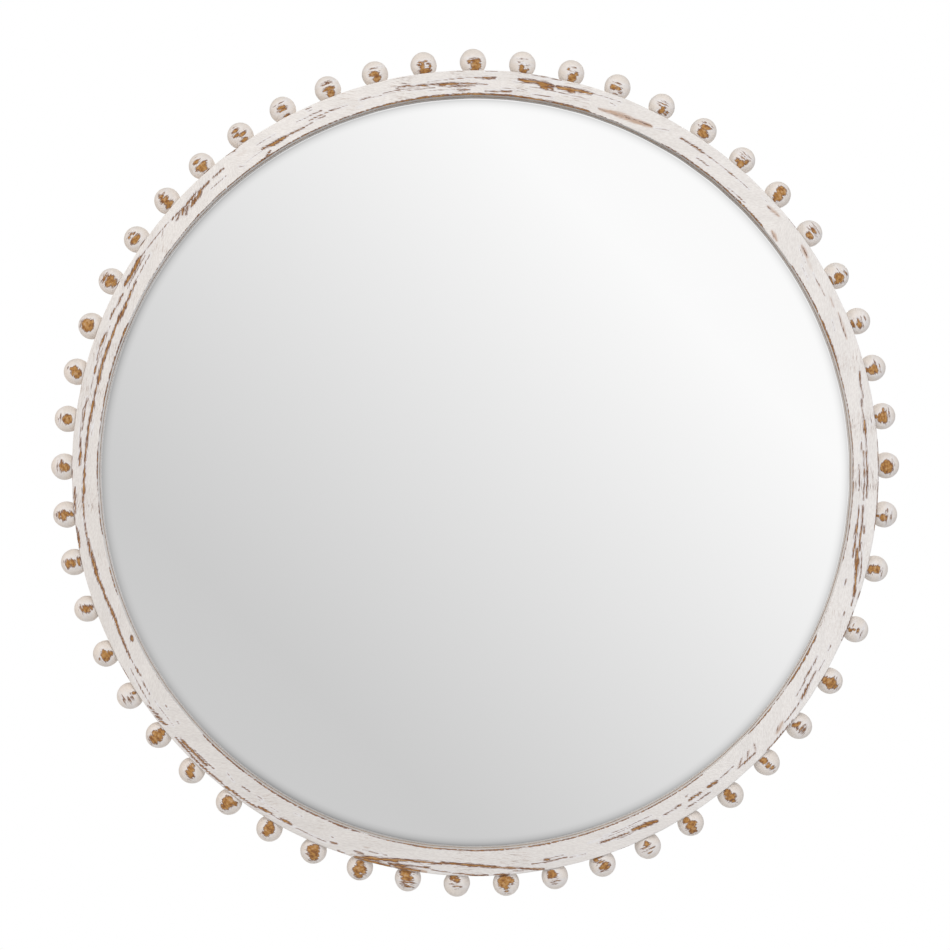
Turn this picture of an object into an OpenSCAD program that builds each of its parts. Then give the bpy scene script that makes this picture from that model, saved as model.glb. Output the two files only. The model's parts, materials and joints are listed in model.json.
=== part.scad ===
// Round wall mirror in a narrow ring of painted wood, edged with turned wooden beads.
// The front faces -Y, the wall is the plane y = 0 and +Z is up.
// Angles round the ring run clockwise from the top, as seen from the front.

/* [Ring] */
// Radius of the ring's outer wall
ring_r = 384.6; // [280:0.1:520]
// Width of the front face, from the outer wall to the mirror
ring_w = 25; // [24:0.5:60]
// Depth of the ring from front to back
ring_depth = 22; // [20:0.5:40]
// Width of the lip that the glass lies against
lip_w = 8; // [4:0.5:9]
// Radius of the eased long edges
edge_r = 1.2; // [0.4:0.1:2.5]
// Angles near which the four arcs meet
joint_a = [51, 138, 234, 322]; // [0:1:359]
// Thickness of the glue line between two arcs
joint_glue = 0.1; // [0.05:0.05:0.5]

/* [Beads] */
// Diameter of a bead
bead_d = 25.4; // [18:0.1:32]
// Number of beads round the ring
bead_count = 52; // [28:2:64]
// Distance from the ring's outer wall to a bead's centre
bead_out = 9; // [6:0.1:12]
// Angle of the first bead
bead_a0 = 128; // [0:0.1:359]
// Wide gaps where the hand-spaced round was closed, in degrees
closing_gaps = [7.7, 8.9, 8, 7.6]; // [6:0.1:9]
// Thickness of the glue under a bead's flat
bead_glue = 0.1; // [0.05:0.05:0.3]

/* [Dowels] */
// Diameter of the dowel stock
dowel_d = 6; // [4:0.5:7]
// Length of a dowel under a bead
bead_dowel_l = 20; // [12:1:24]
// Length of a dowel across an arc joint
joint_dowel_l = 30; // [16:1:40]
// Radial glue clearance round a dowel
dowel_fit = 0.05; // [0.02:0.01:0.2]
// Empty depth past each end of a dowel
dowel_end = 0.5; // [0.2:0.1:2]

/* [Glass and back] */
// Thickness of the mirror glass
glass_t = 4; // [3:0.5:6]
// Radial play round the glass
glass_play = 1; // [0.5:0.1:2]
// Width of the ground edge on the glass
glass_arris = 0.5; // [0.2:0.1:1]
// Thickness of the cushion sheet
sheet_t = 2; // [1:0.5:3]
// Radial play round the cushion sheet
sheet_play = 2; // [0.5:0.5:3]
// Thickness of the backing board
board_t = 5; // [3:0.5:7]
// Radial play round the backing board
board_play = 0.8; // [0.3:0.1:2]

/* [Turn buttons] */
// Number of turn buttons
button_count = 8; // [4:1:8]
// Angle near which the first turn button sits
button_a0 = 24; // [0:1:40]
// Width of a turn button
button_w = 12; // [9:0.5:14]
// Thickness of a turn button
button_t = 1.2; // [0.8:0.1:1.6]
// Length of the turn button that lies over the board
button_reach = 9; // [5:0.5:14]
// Running gap under a turn button
button_gap = 0.15; // [0.05:0.05:0.3]
// Diameter of the turn-button screw
button_screw_d = 3.5; // [2.5:0.1:4]
// Length of the turn-button screw under its head
button_screw_l = 10; // [8:0.5:12]
// Radial running clearance of the turn button on its screw
button_fit = 0.06; // [0.03:0.01:0.1]

/* [Hangers] */
// Angle of each hanger from the top
hanger_a = 58.3; // [56:0.1:60]
// Distance of the hanger's middle line from the centre of the land, towards the mirror
hanger_in = 1.1; // [0:0.1:2]
// Width of the strap
strap_w = 12; // [8:0.5:13]
// Length of the strap from the bar to its round end
strap_l = 30; // [26:0.5:36]
// Thickness of the strap's steel, which lies double
strap_t = 0.9; // [0.6:0.1:1]
// Diameter of the ring's wire
wire_d = 3; // [2:0.1:3.2]
// Half the width of the D-ring, at the middle of its wire
d_half_w = 9; // [8.5:0.1:9.5]
// Length of the D-ring's straight sides, from the bar
d_side = 5; // [3:0.5:7]
// Bend radius at the ends of the bar
d_bend_r = 2.4; // [2:0.1:2.6]
// Radial running clearance of the bar in the strap
bar_fit = 0.06; // [0.03:0.01:0.1]
// Gap between the resting D-ring and the wood
d_rest_gap = 0.15; // [0.05:0.05:0.5]
// Diameter of a hanger screw
strap_screw_d = 3.5; // [2.5:0.1:4]
// Length of a hanger screw under its head
strap_screw_l = 10; // [8:0.5:12]
// Distance of the first screw from the bar
strap_screw_in = 11; // [10:0.5:12]
// Distance between the two screws
strap_screw_pitch = 13; // [9:0.5:14]

/* [Screw heads and pads] */
// Diameter of a screw head
head_d = 6.8; // [5.5:0.1:8]
// Height of a screw head
head_h = 1.8; // [1.2:0.1:2.2]
// Width of the cross recess
cross_w = 1; // [0.6:0.1:1.4]
// Clearance under and round a screw
screw_fit = 0.1; // [0.05:0.05:0.2]
// Diameter of a bumper pad
pad_d = 14; // [8:0.5:15]
// Thickness of a bumper pad, which sets the ring off the wall
pad_t = 6; // [5.5:0.1:10]
// Width of the pad's bevelled edge
pad_bevel = 1; // [0.3:0.1:2]
// Angle of each bumper pad from the top or the bottom
pad_a = 36; // [33:1:40]

/* [Hidden] */
$fn = 96;
eps = 1;

// Planes from the wall to the front
y_back = -pad_t;
y_front = y_back - ring_depth;
y_board = y_back - board_t;
y_sheet = y_board - sheet_t;
y_glass = y_sheet - glass_t;
y_mid = (y_front + y_back) / 2;

// Radii
sight_r = ring_r - ring_w;
rebate_r = sight_r + lip_w;
land_w = ring_r - rebate_r;
land_r = (ring_r + rebate_r) / 2;
bead_r = bead_d / 2;
bead_ring_r = ring_r + bead_out;
hanger_r = land_r - hanger_in;
dowel_hole_d = dowel_d + 2 * dowel_fit;

// Hand-set beads drift from even spacing: share of the even run, degrees
hand_drift = [[0, 0], [0.1, -0.2], [0.25, 0.1], [0.4, -0.3], [0.5, -0.95],
              [0.6, -0.9], [0.75, -0.35], [0.84, -0.7], [0.92, -0.15], [1, 0]];
even_count = bead_count - len(closing_gaps);
even_a = (360 - sum_of(closing_gaps, len(closing_gaps))) / even_count;

function sum_of(list, n) = n <= 0 ? 0 : list[n - 1] + sum_of(list, n - 1);
function bead_a(i) = bead_a0 + min(i, even_count) * even_a
    + lookup(min(i / even_count, 1), hand_drift)
    + sum_of(closing_gaps, i - even_count);
function turn_between(a, b) = abs((a - b + 1260) % 360 - 180);
gaps_a = [for (i = [0 : bead_count - 1]) ((bead_a(i) + bead_a(i + 1)) / 2) % 360];

// The middle of the gap between two beads that lies nearest to an angle
function nearest_gap(a) =
    let (off = [for (g = gaps_a) turn_between(g, a)], least = min(off))
    [for (i = [0 : bead_count - 1]) if (off[i] == least) gaps_a[i]][0];

joints = [for (a = joint_a) nearest_gap(a)];
buttons_a = [for (k = [0 : button_count - 1]) nearest_gap(button_a0 + k * 360 / button_count)];
pads_a = [pad_a, 180 - pad_a, 180 + pad_a, 360 - pad_a];
function arc_span(k) = (joints[(k + 1) % 4] - joints[k] + 360) % 360;
function in_arc(a, k) = (a - joints[k] + 720) % 360 < arc_span(k);

// Hanger geometry, from the bar's axis
wire_r = wire_d / 2;
bar_hole_r = wire_r + bar_fit;
loop_r = bar_hole_r + strap_t;
leaf_t = 2 * strap_t;
d_length = d_side + d_half_w;
d_lean = asin((loop_r - wire_r - d_rest_gap) / d_length);
strap_screws_x = [strap_screw_in, strap_screw_in + strap_screw_pitch];

wood_white = [0.93, 0.91, 0.86];
raw_wood = [0.78, 0.6, 0.4];
silver = [0.82, 0.86, 0.88];
steel = [0.7, 0.71, 0.72];
board_brown = [0.55, 0.42, 0.3];
card_grey = [0.66, 0.64, 0.6];
rubber_grey = [0.25, 0.25, 0.26];

function two_digits(k) = str(k < 10 ? "0" : "", k);
function bead_node(k) = str("bead_pair_", two_digits(k));
function button_node(k) = str("turn_button_", k);
function pad_node(k) = str("bumper_pad_", k);
arc_names = ["frame_arc_right", "frame_arc_bottom", "frame_arc_left", "frame_arc_top"];

// Places its children at an angle and a radius: local +Z points outwards, +X clockwise
module at_clock(a, r) {
    rotate([0, a, 0]) translate([0, 0, r]) children();
}

// Turns local +Z to +Y, out of the back
module facing_back() {
    rotate([-90, 0, 0]) children();
}

// A turned section: x is the radius and y the distance from the wall
module turned(a = 0, span = 360) {
    rotate([-90, 0, 0]) rotate([0, 0, a - 90]) rotate_extrude(angle = span) children();
}

// A flat bar with a round far end, from the origin along +X
module tongue(l, w) {
    translate([0, -w / 2]) square([l - w / 2, w]);
    translate([l - w / 2, 0]) circle(d = w);
}

// A rectangle with eased corners
module eased(w, h, r) {
    translate([r, 0]) square([w - 2 * r, h]);
    translate([0, r]) square([w, h - 2 * r]);
    for (x = [r, w - r], y = [r, h - r]) translate([x, y]) circle(r);
}

module ring_section() {
    difference() {
        translate([sight_r, y_front]) eased(ring_w, ring_depth, edge_r);
        translate([sight_r - eps, y_glass]) square([lip_w + eps, y_back - y_glass + eps]);
    }
}

// A disc in the rebate, from one plane to another, with bevelled rims
module rebate_disc(r, y0, y1, bevel) {
    turned() polygon([[0, y0], [r - bevel, y0], [r, y0 + bevel],
                      [r, y1 - bevel], [r - bevel, y1], [0, y1]]);
}

// A radial dowel under a bead, or its hole when it is given an end gap and a fit
module bead_dowel(a, d, l) {
    at_clock(a, ring_r - l / 2) translate([0, y_mid, 0]) cylinder(d = d, h = l);
}

// The two dowels across an arc joint, or their holes
module joint_dowel_pair(a, d, l) {
    for (place = [[land_r, y_back - ring_depth / 4], [ring_r - ring_w / 2, y_front + ring_depth / 4]])
        at_clock(a, place[0]) translate([-l / 2, place[1], 0]) rotate([0, 90, 0]) cylinder(d = d, h = l);
}

// A pan-head screw with a cross recess: local +Z points out of its head, and its head
// seats at the origin
module pan_screw(d, l) {
    tip = d;
    dome_r = 0.8 * head_d;
    difference() {
        intersection() {
            cylinder(d = head_d, h = head_h);
            translate([0, 0, head_h - dome_r]) sphere(dome_r);
        }
        for (turn = [0, 90]) rotate(turn)
            translate([-head_d / 4, -cross_w / 2, head_h / 2]) cube([head_d / 2, cross_w, head_h]);
    }
    translate([0, 0, tip - l]) cylinder(d = d, h = l - tip);
    translate([0, 0, -l]) cylinder(d1 = d / 8, d2 = d, h = tip);
}

// The straight hole that a screw is driven into, from the ring's back
module screw_hole(d, l) {
    translate([0, y_back, 0]) facing_back()
        translate([0, 0, -l]) cylinder(d = d + 2 * screw_fit, h = l + eps);
}

// A hanger's own frame: its origin is on the wood under the bar, +X runs down the
// strap, +Y to the wall and +Z outwards. The left hanger is its mirror image
module at_hanger() {
    at_clock(hanger_a, hanger_r) translate([-strap_l / 2, 0, 0]) children();
}

module hanger_screw_holes() {
    at_hanger() for (x = strap_screws_x) translate([x, 0, 0]) screw_hole(strap_screw_d, strap_screw_l);
}

module frame_arc(k) {
    glue_a = joint_glue / land_r * 180 / PI;
    color(wood_white) difference() {
        turned(joints[k] + glue_a / 2, arc_span(k) - glue_a) ring_section();
        for (i = [0 : bead_count - 1]) if (in_arc(bead_a(i), k))
            bead_dowel(bead_a(i), dowel_hole_d, bead_dowel_l + 2 * dowel_end);
        for (j = [k, (k + 1) % 4])
            joint_dowel_pair(joints[j], dowel_hole_d, joint_dowel_l + 2 * dowel_end);
        for (a = buttons_a) if (in_arc(a, k))
            at_clock(a, land_r) screw_hole(button_screw_d, button_screw_l);
        if (in_arc(hanger_a, k)) hanger_screw_holes();
        if (in_arc(360 - hanger_a, k)) mirror([1, 0, 0]) hanger_screw_holes();
    }
}

module joint_dowels() {
    color(raw_wood) for (a = joints) joint_dowel_pair(a, dowel_d, joint_dowel_l);
}

module bead_dowels() {
    color(raw_wood) for (i = [0 : bead_count - 1]) bead_dowel(bead_a(i), dowel_d, bead_dowel_l);
}

// A turned ball with a flat that seats on the ring's wall
module bead(i) {
    flat = bead_out - bead_glue;
    difference() {
        at_clock(bead_a(i), bead_ring_r) translate([0, y_mid, 0]) difference() {
            sphere(bead_r);
            translate([-bead_r, -bead_r, -flat - bead_d]) cube(bead_d);
        }
        bead_dowel(bead_a(i), dowel_hole_d, bead_dowel_l + 2 * dowel_end);
    }
}

module bead_pair(k) {
    color(wood_white) for (i = [2 * k - 2, 2 * k - 1]) bead(i);
}

module mirror_glass() {
    color(silver) rebate_disc(rebate_r - glass_play, y_glass, y_sheet, glass_arris);
}

module cushion_sheet() {
    color(card_grey) turned() translate([0, y_sheet]) square([rebate_r - sheet_play, sheet_t]);
}

module backing_board() {
    color(board_brown) rebate_disc(rebate_r - board_play, y_board, y_back, board_play / 2);
}

module turn_button(k) {
    l = land_w / 2 + button_reach;
    color(steel) at_clock(buttons_a[k - 1], land_r)
        translate([0, y_back + button_gap, 0]) facing_back() linear_extrude(button_t) difference() {
            rotate(90) {
                tongue(l, button_w);
                circle(d = button_w);
            }
            circle(d = button_screw_d + 2 * button_fit);
        }
}

module turn_button_screws() {
    color(steel) for (a = buttons_a) at_clock(a, land_r)
        translate([0, y_back + button_gap + button_t + screw_fit, 0]) facing_back()
            pan_screw(button_screw_d, button_screw_l);
}

module strap() {
    color(steel) at_hanger() translate([0, y_back, 0]) difference() {
        union() {
            rotate([90, 0, 0]) translate([0, 0, -leaf_t]) linear_extrude(leaf_t) tongue(strap_l, strap_w);
            translate([0, loop_r, -strap_w / 2]) cylinder(r = loop_r, h = strap_w);
        }
        translate([0, loop_r, -strap_w / 2 - eps]) cylinder(r = bar_hole_r, h = strap_w + 2 * eps);
        for (x = strap_screws_x) translate([x, -eps, 0]) facing_back()
            cylinder(d = strap_screw_d + 2 * screw_fit, h = leaf_t + 2 * eps);
    }
}

module wire_bend(x, z, r, a, span) {
    translate([x, z]) rotate([0, 0, a]) rotate_extrude(angle = span) translate([r, 0]) circle(wire_r);
}

// The D-ring leans on the wood, pointing up, as it does on its hook
module d_ring() {
    bar = 2 * (d_half_w - d_bend_r);
    color(steel) at_hanger() translate([0, y_back + loop_r, 0]) rotate([0, 0, d_lean]) rotate([90, 0, 0]) {
        rotate([90, 0, 0]) cylinder(r = wire_r, h = bar, center = true);
        wire_bend(-d_bend_r, bar / 2, d_bend_r, 0, 90);
        wire_bend(-d_bend_r, -bar / 2, d_bend_r, 270, 90);
        for (z = [-d_half_w, d_half_w]) translate([-d_side, z]) rotate([0, 90, 0])
            cylinder(r = wire_r, h = d_side - d_bend_r);
        wire_bend(-d_side, 0, d_half_w, 90, 180);
    }
}

module hanger_screw_pair() {
    at_hanger() for (x = strap_screws_x)
        translate([x, y_back + leaf_t + screw_fit, 0]) facing_back() pan_screw(strap_screw_d, strap_screw_l);
}

module hanger_screws() {
    color(steel) {
        hanger_screw_pair();
        mirror([1, 0, 0]) hanger_screw_pair();
    }
}

module bumper_pad(k) {
    color(rubber_grey) at_clock(pads_a[k - 1], land_r) translate([0, y_back, 0]) facing_back() {
        cylinder(d = pad_d, h = pad_t - pad_bevel);
        translate([0, 0, pad_t - pad_bevel]) cylinder(d1 = pad_d, d2 = pad_d - 2 * pad_bevel, h = pad_bevel);
    }
}

for (k = [0 : 3]) frame_arc(k);
joint_dowels();
bead_dowels();
mirror_glass();
cushion_sheet();
backing_board();
for (k = [1 : bead_count / 2]) bead_pair(k);
for (k = [1 : button_count]) turn_button(k);
turn_button_screws();
strap();  // hanger_strap_right
mirror([1, 0, 0]) strap();  // hanger_strap_left
d_ring();  // hanger_ring_right
mirror([1, 0, 0]) d_ring();  // hanger_ring_left
hanger_screws();
for (k = [1 : 4]) bumper_pad(k);
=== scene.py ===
"""A round wall mirror in a narrow ring of white, sanded-back paint, edged with turned balls.

Run as a script, it keeps the places and sizes of the construction model and gives every
piece its worked shape and its finish. The front faces -Y, the wall is the plane y = 0, and
angles run clockwise from the top, as seen from the front.
"""

import json
import math

import bmesh
import bpy
import numpy as np
from bpy.props import FloatProperty, FloatVectorProperty, PointerProperty
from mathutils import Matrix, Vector


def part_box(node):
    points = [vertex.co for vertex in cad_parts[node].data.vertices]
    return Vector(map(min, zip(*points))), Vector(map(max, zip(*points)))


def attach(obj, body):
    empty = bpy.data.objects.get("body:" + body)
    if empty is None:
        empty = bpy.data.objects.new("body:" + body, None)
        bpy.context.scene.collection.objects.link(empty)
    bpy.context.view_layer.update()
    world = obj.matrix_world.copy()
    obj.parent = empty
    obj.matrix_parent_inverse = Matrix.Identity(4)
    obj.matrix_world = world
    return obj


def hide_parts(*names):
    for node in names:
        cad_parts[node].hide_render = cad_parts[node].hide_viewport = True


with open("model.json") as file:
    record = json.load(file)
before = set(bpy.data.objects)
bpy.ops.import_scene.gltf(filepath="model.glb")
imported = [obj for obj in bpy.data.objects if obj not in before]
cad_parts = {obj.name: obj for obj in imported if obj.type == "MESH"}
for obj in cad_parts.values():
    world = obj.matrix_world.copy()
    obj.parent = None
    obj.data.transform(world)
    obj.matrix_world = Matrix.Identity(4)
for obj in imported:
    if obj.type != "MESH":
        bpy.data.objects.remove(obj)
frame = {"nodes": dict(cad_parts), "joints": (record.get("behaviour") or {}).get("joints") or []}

bl_info = {
    "name": "Beaded Mirror",
    "version": (1, 0, 0),
    "blender": (4, 5, 0),
    "location": "View3D > Sidebar > Beaded Mirror",
    "description": "Builds a round wall mirror in a beaded, sanded-back painted ring",
    "category": "Object",
}

MM = 0.001
TURN = 2 * math.pi

ARCS = ("frame_arc_right", "frame_arc_bottom", "frame_arc_left", "frame_arc_top")
SWIVELS = [joint for joint in frame["joints"] if joint["name"].endswith("_swivel")]
FOLDS = [joint for joint in frame["joints"] if joint["name"].endswith("_fold")]

# How far the hanger screws are from the bar, in millimetres
STRAP_SCREWS = (11, 24)

# Where sanding broke through the front of the ring, one row for each dash, read off:
# from this angle and depth, to this angle and depth, how wide, how bare. Angles are in
# degrees, depths and widths in millimetres, and a depth runs in from the ring's outer edge
DASHES = (
    # Top arc, right of the top
    (0.0, 7.2, 1.2, 7.6, 0.6, 0.8), (1.1, 7.4, 2.9, 7.2, 1.5, 1.0), (0.0, 13.4, 1.8, 13.6, 0.7, 0.8),
    (1.5, 20.2, 4.0, 19.8, 0.7, 0.8), (3.8, 19.6, 5.5, 19.2, 1.1, 0.9), (1.5, 1.2, 3.2, 1.0, 0.5, 0.6),
    (6.4, 6.8, 9.2, 7.2, 2.8, 1.1), (8.8, 7.4, 11.4, 8.0, 3.4, 1.1), (9.5, 9.0, 10.5, 11.6, 3.8, 1.1),
    (10.4, 9.6, 11.4, 11.0, 1.6, 1.0), (12.0, 8.0, 14.4, 7.6, 3.0, 1.1), (13.4, 8.6, 14.6, 9.4, 2.2, 1.05),
    (14.0, 7.0, 17.0, 6.2, 2.4, 1.05), (17.0, 5.6, 21.5, 4.6, 0.5, 0.6), (5.6, 9.5, 8.2, 10.5, 0.5, 0.6),
    (8.0, 12.6, 17.0, 12.6, 0.5, 0.6), (7.0, 4.6, 12.6, 3.4, 0.4, 0.5), (8.0, 1.0, 12.4, 1.0, 0.6, 0.7),
    (8.6, 19.2, 11.7, 18.6, 0.6, 0.7), (4.0, 16.5, 8.0, 16.0, 0.4, 0.5),
    (18.6, 17.4, 20.4, 17.2, 0.5, 0.6), (19.6, 18.2, 22.6, 17.6, 0.5, 0.62),
    (22.4, 16.4, 24.4, 16.0, 0.8, 0.6), (21.6, 15.6, 25.4, 14.6, 0.5, 0.62),
    (24.8, 14.6, 27.0, 13.4, 1.1, 0.7), (27.4, 13.6, 29.5, 9.2, 0.5, 0.6),
    (20.0, 8.5, 21.0, 9.5, 0.4, 0.6), (31.5, 9.6, 33.0, 9.8, 0.8, 0.9), (33.0, 9.7, 35.4, 9.6, 1.2, 0.95),
    (35.4, 9.7, 38.0, 9.7, 0.5, 0.7), (38.2, 9.6, 44.0, 9.0, 0.5, 0.6), (40.0, 9.4, 40.8, 9.3, 0.9, 0.8),
    (35.1, 17.4, 37.3, 17.2, 0.6, 0.8), (41.5, 21.6, 45.0, 20.8, 0.5, 0.7),
    (46.0, 5.0, 48.0, 5.6, 0.4, 0.4),
    # Right arc
    (47.7, 7.8, 48.4, 7.4, 1.4, 0.62), (48.8, 8.6, 49.6, 5.8, 0.9, 0.5),
    (51.0, 21.2, 52.0, 22.4, 0.9, 0.6), (55.3, 6.0, 56.8, 7.2, 1.4, 0.6),
    (55.0, 8.2, 57.6, 12.2, 0.7, 0.45), (60.3, 11.6, 61.4, 11.4, 0.8, 0.6),
    (61.6, 11.4, 63.2, 11.6, 0.9, 0.5), (59.4, 10.6, 60.4, 11.4, 0.5, 0.5),
    (63.8, 7.2, 65.4, 8.4, 0.7, 0.45), (66.4, 6.8, 67.8, 8.4, 0.9, 0.55), (68.0, 8.6, 69.8, 8.8, 1.0, 0.6),
    (57.4, 16.4, 60.0, 18.0, 0.4, 0.5), (66.8, 15.0, 68.4, 16.6, 0.4, 0.5),
    (75.2, 6.2, 77.4, 8.6, 0.7, 0.9), (77.0, 7.6, 79.0, 8.6, 0.7, 0.8), (79.2, 10.2, 80.3, 11.2, 1.0, 0.9),
    (80.4, 11.2, 82.4, 11.2, 0.5, 0.7), (82.2, 4.2, 83.0, 4.2, 0.7, 0.6),
    (82.3, 11.0, 84.2, 11.4, 1.6, 1.1), (84.2, 11.2, 87.0, 11.4, 0.5, 0.8),
    (87.0, 11.6, 93.6, 10.8, 1.0, 0.9), (85.4, 15.6, 87.0, 16.2, 0.6, 0.8),
    (86.8, 14.2, 94.0, 13.8, 0.6, 0.8), (88.8, 19.0, 92.6, 18.6, 0.5, 0.8),
    (94.8, 14.0, 98.0, 12.6, 0.9, 0.9), (97.8, 10.4, 98.8, 9.8, 1.2, 0.8),
    (98.0, 12.8, 101.4, 12.4, 1.0, 0.9), (94.8, 17.4, 98.0, 17.2, 0.7, 0.8),
    (97.8, 17.4, 100.0, 17.2, 1.6, 1.0), (100.0, 16.8, 102.6, 16.0, 1.0, 0.9),
    (100.2, 11.0, 101.4, 10.8, 1.6, 0.9), (101.2, 13.2, 102.8, 11.4, 2.4, 1.0),
    (102.4, 11.6, 104.2, 10.2, 3.2, 1.1), (104.0, 9.6, 106.0, 7.8, 1.8, 1.0),
    (105.8, 7.6, 108.0, 5.6, 1.8, 1.0), (107.4, 5.4, 109.4, 4.2, 0.8, 0.8),
    (101.5, 8.4, 104.8, 4.8, 0.6, 0.7), (103.6, 5.6, 106.0, 4.0, 0.5, 0.7),
    (106.0, 17.0, 106.8, 16.8, 1.0, 0.8), (110.6, 8.4, 111.2, 8.0, 0.8, 0.7),
    (115.9, 8.0, 116.7, 7.6, 0.8, 0.7), (107.2, 0.8, 108.2, 0.8, 0.7, 0.8),
    (118.2, 14.6, 122.0, 13.8, 0.7, 0.8), (121.8, 13.0, 124.8, 12.0, 0.5, 0.7),
    (118.2, 7.0, 120.0, 6.8, 0.5, 0.6), (120.2, 9.0, 122.6, 7.8, 0.9, 0.8),
    (122.4, 8.2, 124.6, 6.4, 1.5, 1.0), (124.8, 6.0, 129.0, 5.6, 0.5, 0.7),
    (129.8, 8.2, 130.6, 6.2, 0.9, 0.6), (127.8, 1.0, 133.6, 0.8, 0.7, 0.8),
    # Bottom arc
    (134.2, 14.2, 134.6, 9.0, 0.8, 0.75), (135.0, 7.2, 138.3, 7.6, 0.9, 0.8),
    (135.6, 13.2, 136.2, 9.6, 0.8, 0.7), (137.0, 12.4, 137.8, 9.0, 0.7, 0.7),
    (138.6, 12.0, 141.2, 11.6, 0.6, 0.7), (141.9, 11.2, 143.4, 12.2, 1.8, 1.05),
    (143.6, 6.8, 147.7, 7.0, 0.6, 0.8), (144.8, 11.6, 146.4, 12.2, 1.8, 0.95),
    (146.2, 11.6, 146.9, 11.8, 1.0, 0.8), (148.2, 12.4, 149.2, 12.6, 1.5, 0.85),
    (149.6, 12.0, 151.2, 12.2, 0.7, 0.8), (146.6, 17.0, 147.0, 16.6, 0.7, 0.7),
    (152.4, 10.6, 153.4, 10.8, 2.2, 1.1), (153.0, 11.2, 154.8, 11.8, 4.0, 1.15),
    (154.8, 11.8, 156.2, 12.6, 2.4, 1.1), (156.9, 12.0, 159.4, 12.2, 1.0, 0.9),
    (159.2, 12.4, 161.3, 12.4, 1.2, 0.9), (156.3, 10.2, 158.8, 10.0, 0.5, 0.6),
    (152.8, 17.6, 160.5, 17.4, 0.5, 0.6), (155.0, 15.8, 163.0, 15.6, 0.4, 0.5),
    (163.8, 6.6, 166.2, 7.0, 0.4, 0.6), (166.6, 8.2, 170.0, 7.6, 0.6, 0.8),
    (169.2, 9.4, 169.9, 9.6, 2.4, 0.9), (170.0, 7.8, 171.8, 7.8, 0.5, 0.7),
    (167.0, 10.8, 169.0, 10.6, 0.5, 0.7), (170.2, 1.4, 173.4, 5.0, 0.9, 1.0),
    (173.2, 5.0, 176.6, 8.2, 0.9, 1.0), (176.4, 8.0, 180.0, 10.8, 1.5, 1.05),
    (173.0, 2.6, 174.6, 3.4, 0.6, 0.7), (175.0, 1.0, 177.2, 1.0, 1.4, 0.85),
    (178.2, 1.0, 180.4, 1.2, 1.0, 0.85), (179.6, 10.4, 182.0, 11.2, 1.9, 1.1),
    (182.0, 11.2, 185.0, 11.8, 1.2, 1.0), (185.0, 10.6, 189.4, 10.2, 1.5, 1.0),
    (184.0, 11.0, 186.0, 11.0, 0.8, 0.9), (189.2, 10.0, 191.6, 8.2, 1.7, 1.05),
    (191.4, 7.8, 193.2, 6.0, 2.4, 1.1), (193.0, 6.2, 195.4, 4.4, 2.6, 1.15),
    (195.0, 4.2, 197.2, 1.8, 2.4, 1.1), (180.0, 1.6, 183.6, 2.2, 0.7, 0.8),
    (183.4, 3.2, 186.4, 4.2, 0.6, 0.7), (186.6, 6.0, 190.0, 4.8, 0.9, 0.9),
    (188.0, 1.4, 191.6, 2.0, 2.6, 1.0), (190.2, 4.4, 192.4, 3.0, 1.8, 1.0),
    (192.4, 1.0, 197.4, 0.9, 2.0, 1.1), (193.0, 10.4, 196.6, 10.0, 0.5, 0.7),
    (196.4, 6.4, 197.7, 6.2, 1.0, 0.9), (199.0, 1.0, 200.0, 1.0, 1.0, 0.8),
    (200.4, 7.2, 201.4, 6.8, 1.0, 0.9), (201.2, 11.4, 201.6, 11.6, 0.7, 0.6),
    (202.0, 5.2, 207.6, 5.8, 0.5, 0.7), (207.7, 6.8, 209.3, 6.7, 1.4, 1.1),
    (209.2, 5.4, 211.0, 5.4, 0.5, 0.7), (210.8, 6.0, 213.0, 5.6, 1.4, 1.05),
    (213.2, 3.8, 216.6, 2.8, 0.8, 0.9), (216.4, 3.0, 218.5, 2.4, 1.5, 1.0),
    (218.2, 2.6, 225.2, 2.8, 0.9, 0.95), (215.3, 12.3, 216.6, 12.1, 0.8, 0.8),
    (213.0, 13.2, 213.9, 13.1, 0.6, 0.7), (218.0, 11.0, 219.6, 13.4, 0.5, 0.6),
    (210.0, 11.0, 213.6, 11.0, 0.4, 0.5), (222.6, 6.4, 225.0, 6.4, 1.5, 1.05),
    (221.4, 8.4, 225.4, 8.6, 0.5, 0.8), (225.0, 3.2, 228.6, 3.8, 0.8, 0.9),
    (224.8, 6.6, 227.9, 6.4, 1.3, 1.05), (206.6, 18.0, 208.0, 17.4, 0.4, 0.5),
    # Left arc
    (230.7, 5.2, 231.9, 2.2, 1.1, 0.95), (231.9, 4.8, 232.7, 1.8, 1.0, 0.95),
    (232.8, 4.6, 233.5, 2.0, 0.9, 0.9), (233.6, 3.8, 234.5, 1.8, 0.8, 0.9),
    (229.8, 14.7, 230.2, 14.7, 1.1, 0.7), (232.4, 15.2, 233.2, 15.6, 0.7, 0.6),
    (230.0, 9.6, 234.6, 9.8, 0.5, 0.6), (234.6, 4.4, 240.4, 6.8, 0.5, 0.7),
    (235.8, 9.4, 238.0, 10.6, 0.6, 0.8), (238.8, 11.6, 240.1, 11.8, 1.0, 0.9),
    (240.0, 11.8, 243.4, 11.8, 0.5, 0.7), (241.8, 11.8, 245.6, 13.0, 0.9, 1.0),
    (245.2, 12.8, 247.4, 13.8, 1.0, 1.0), (246.8, 13.8, 250.2, 13.8, 1.8, 1.1),
    (250.0, 13.6, 253.6, 12.4, 1.2, 1.05), (253.4, 12.0, 255.0, 11.2, 1.8, 1.1),
    (254.6, 11.2, 257.0, 11.0, 2.4, 1.15), (256.6, 10.6, 259.8, 10.0, 1.6, 1.05),
    (259.6, 9.8, 263.0, 9.2, 0.7, 0.9), (262.8, 9.2, 267.2, 10.4, 0.7, 0.95),
    (267.0, 10.8, 269.0, 11.8, 1.8, 1.1), (268.8, 11.8, 270.4, 12.4, 1.0, 1.0),
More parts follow.
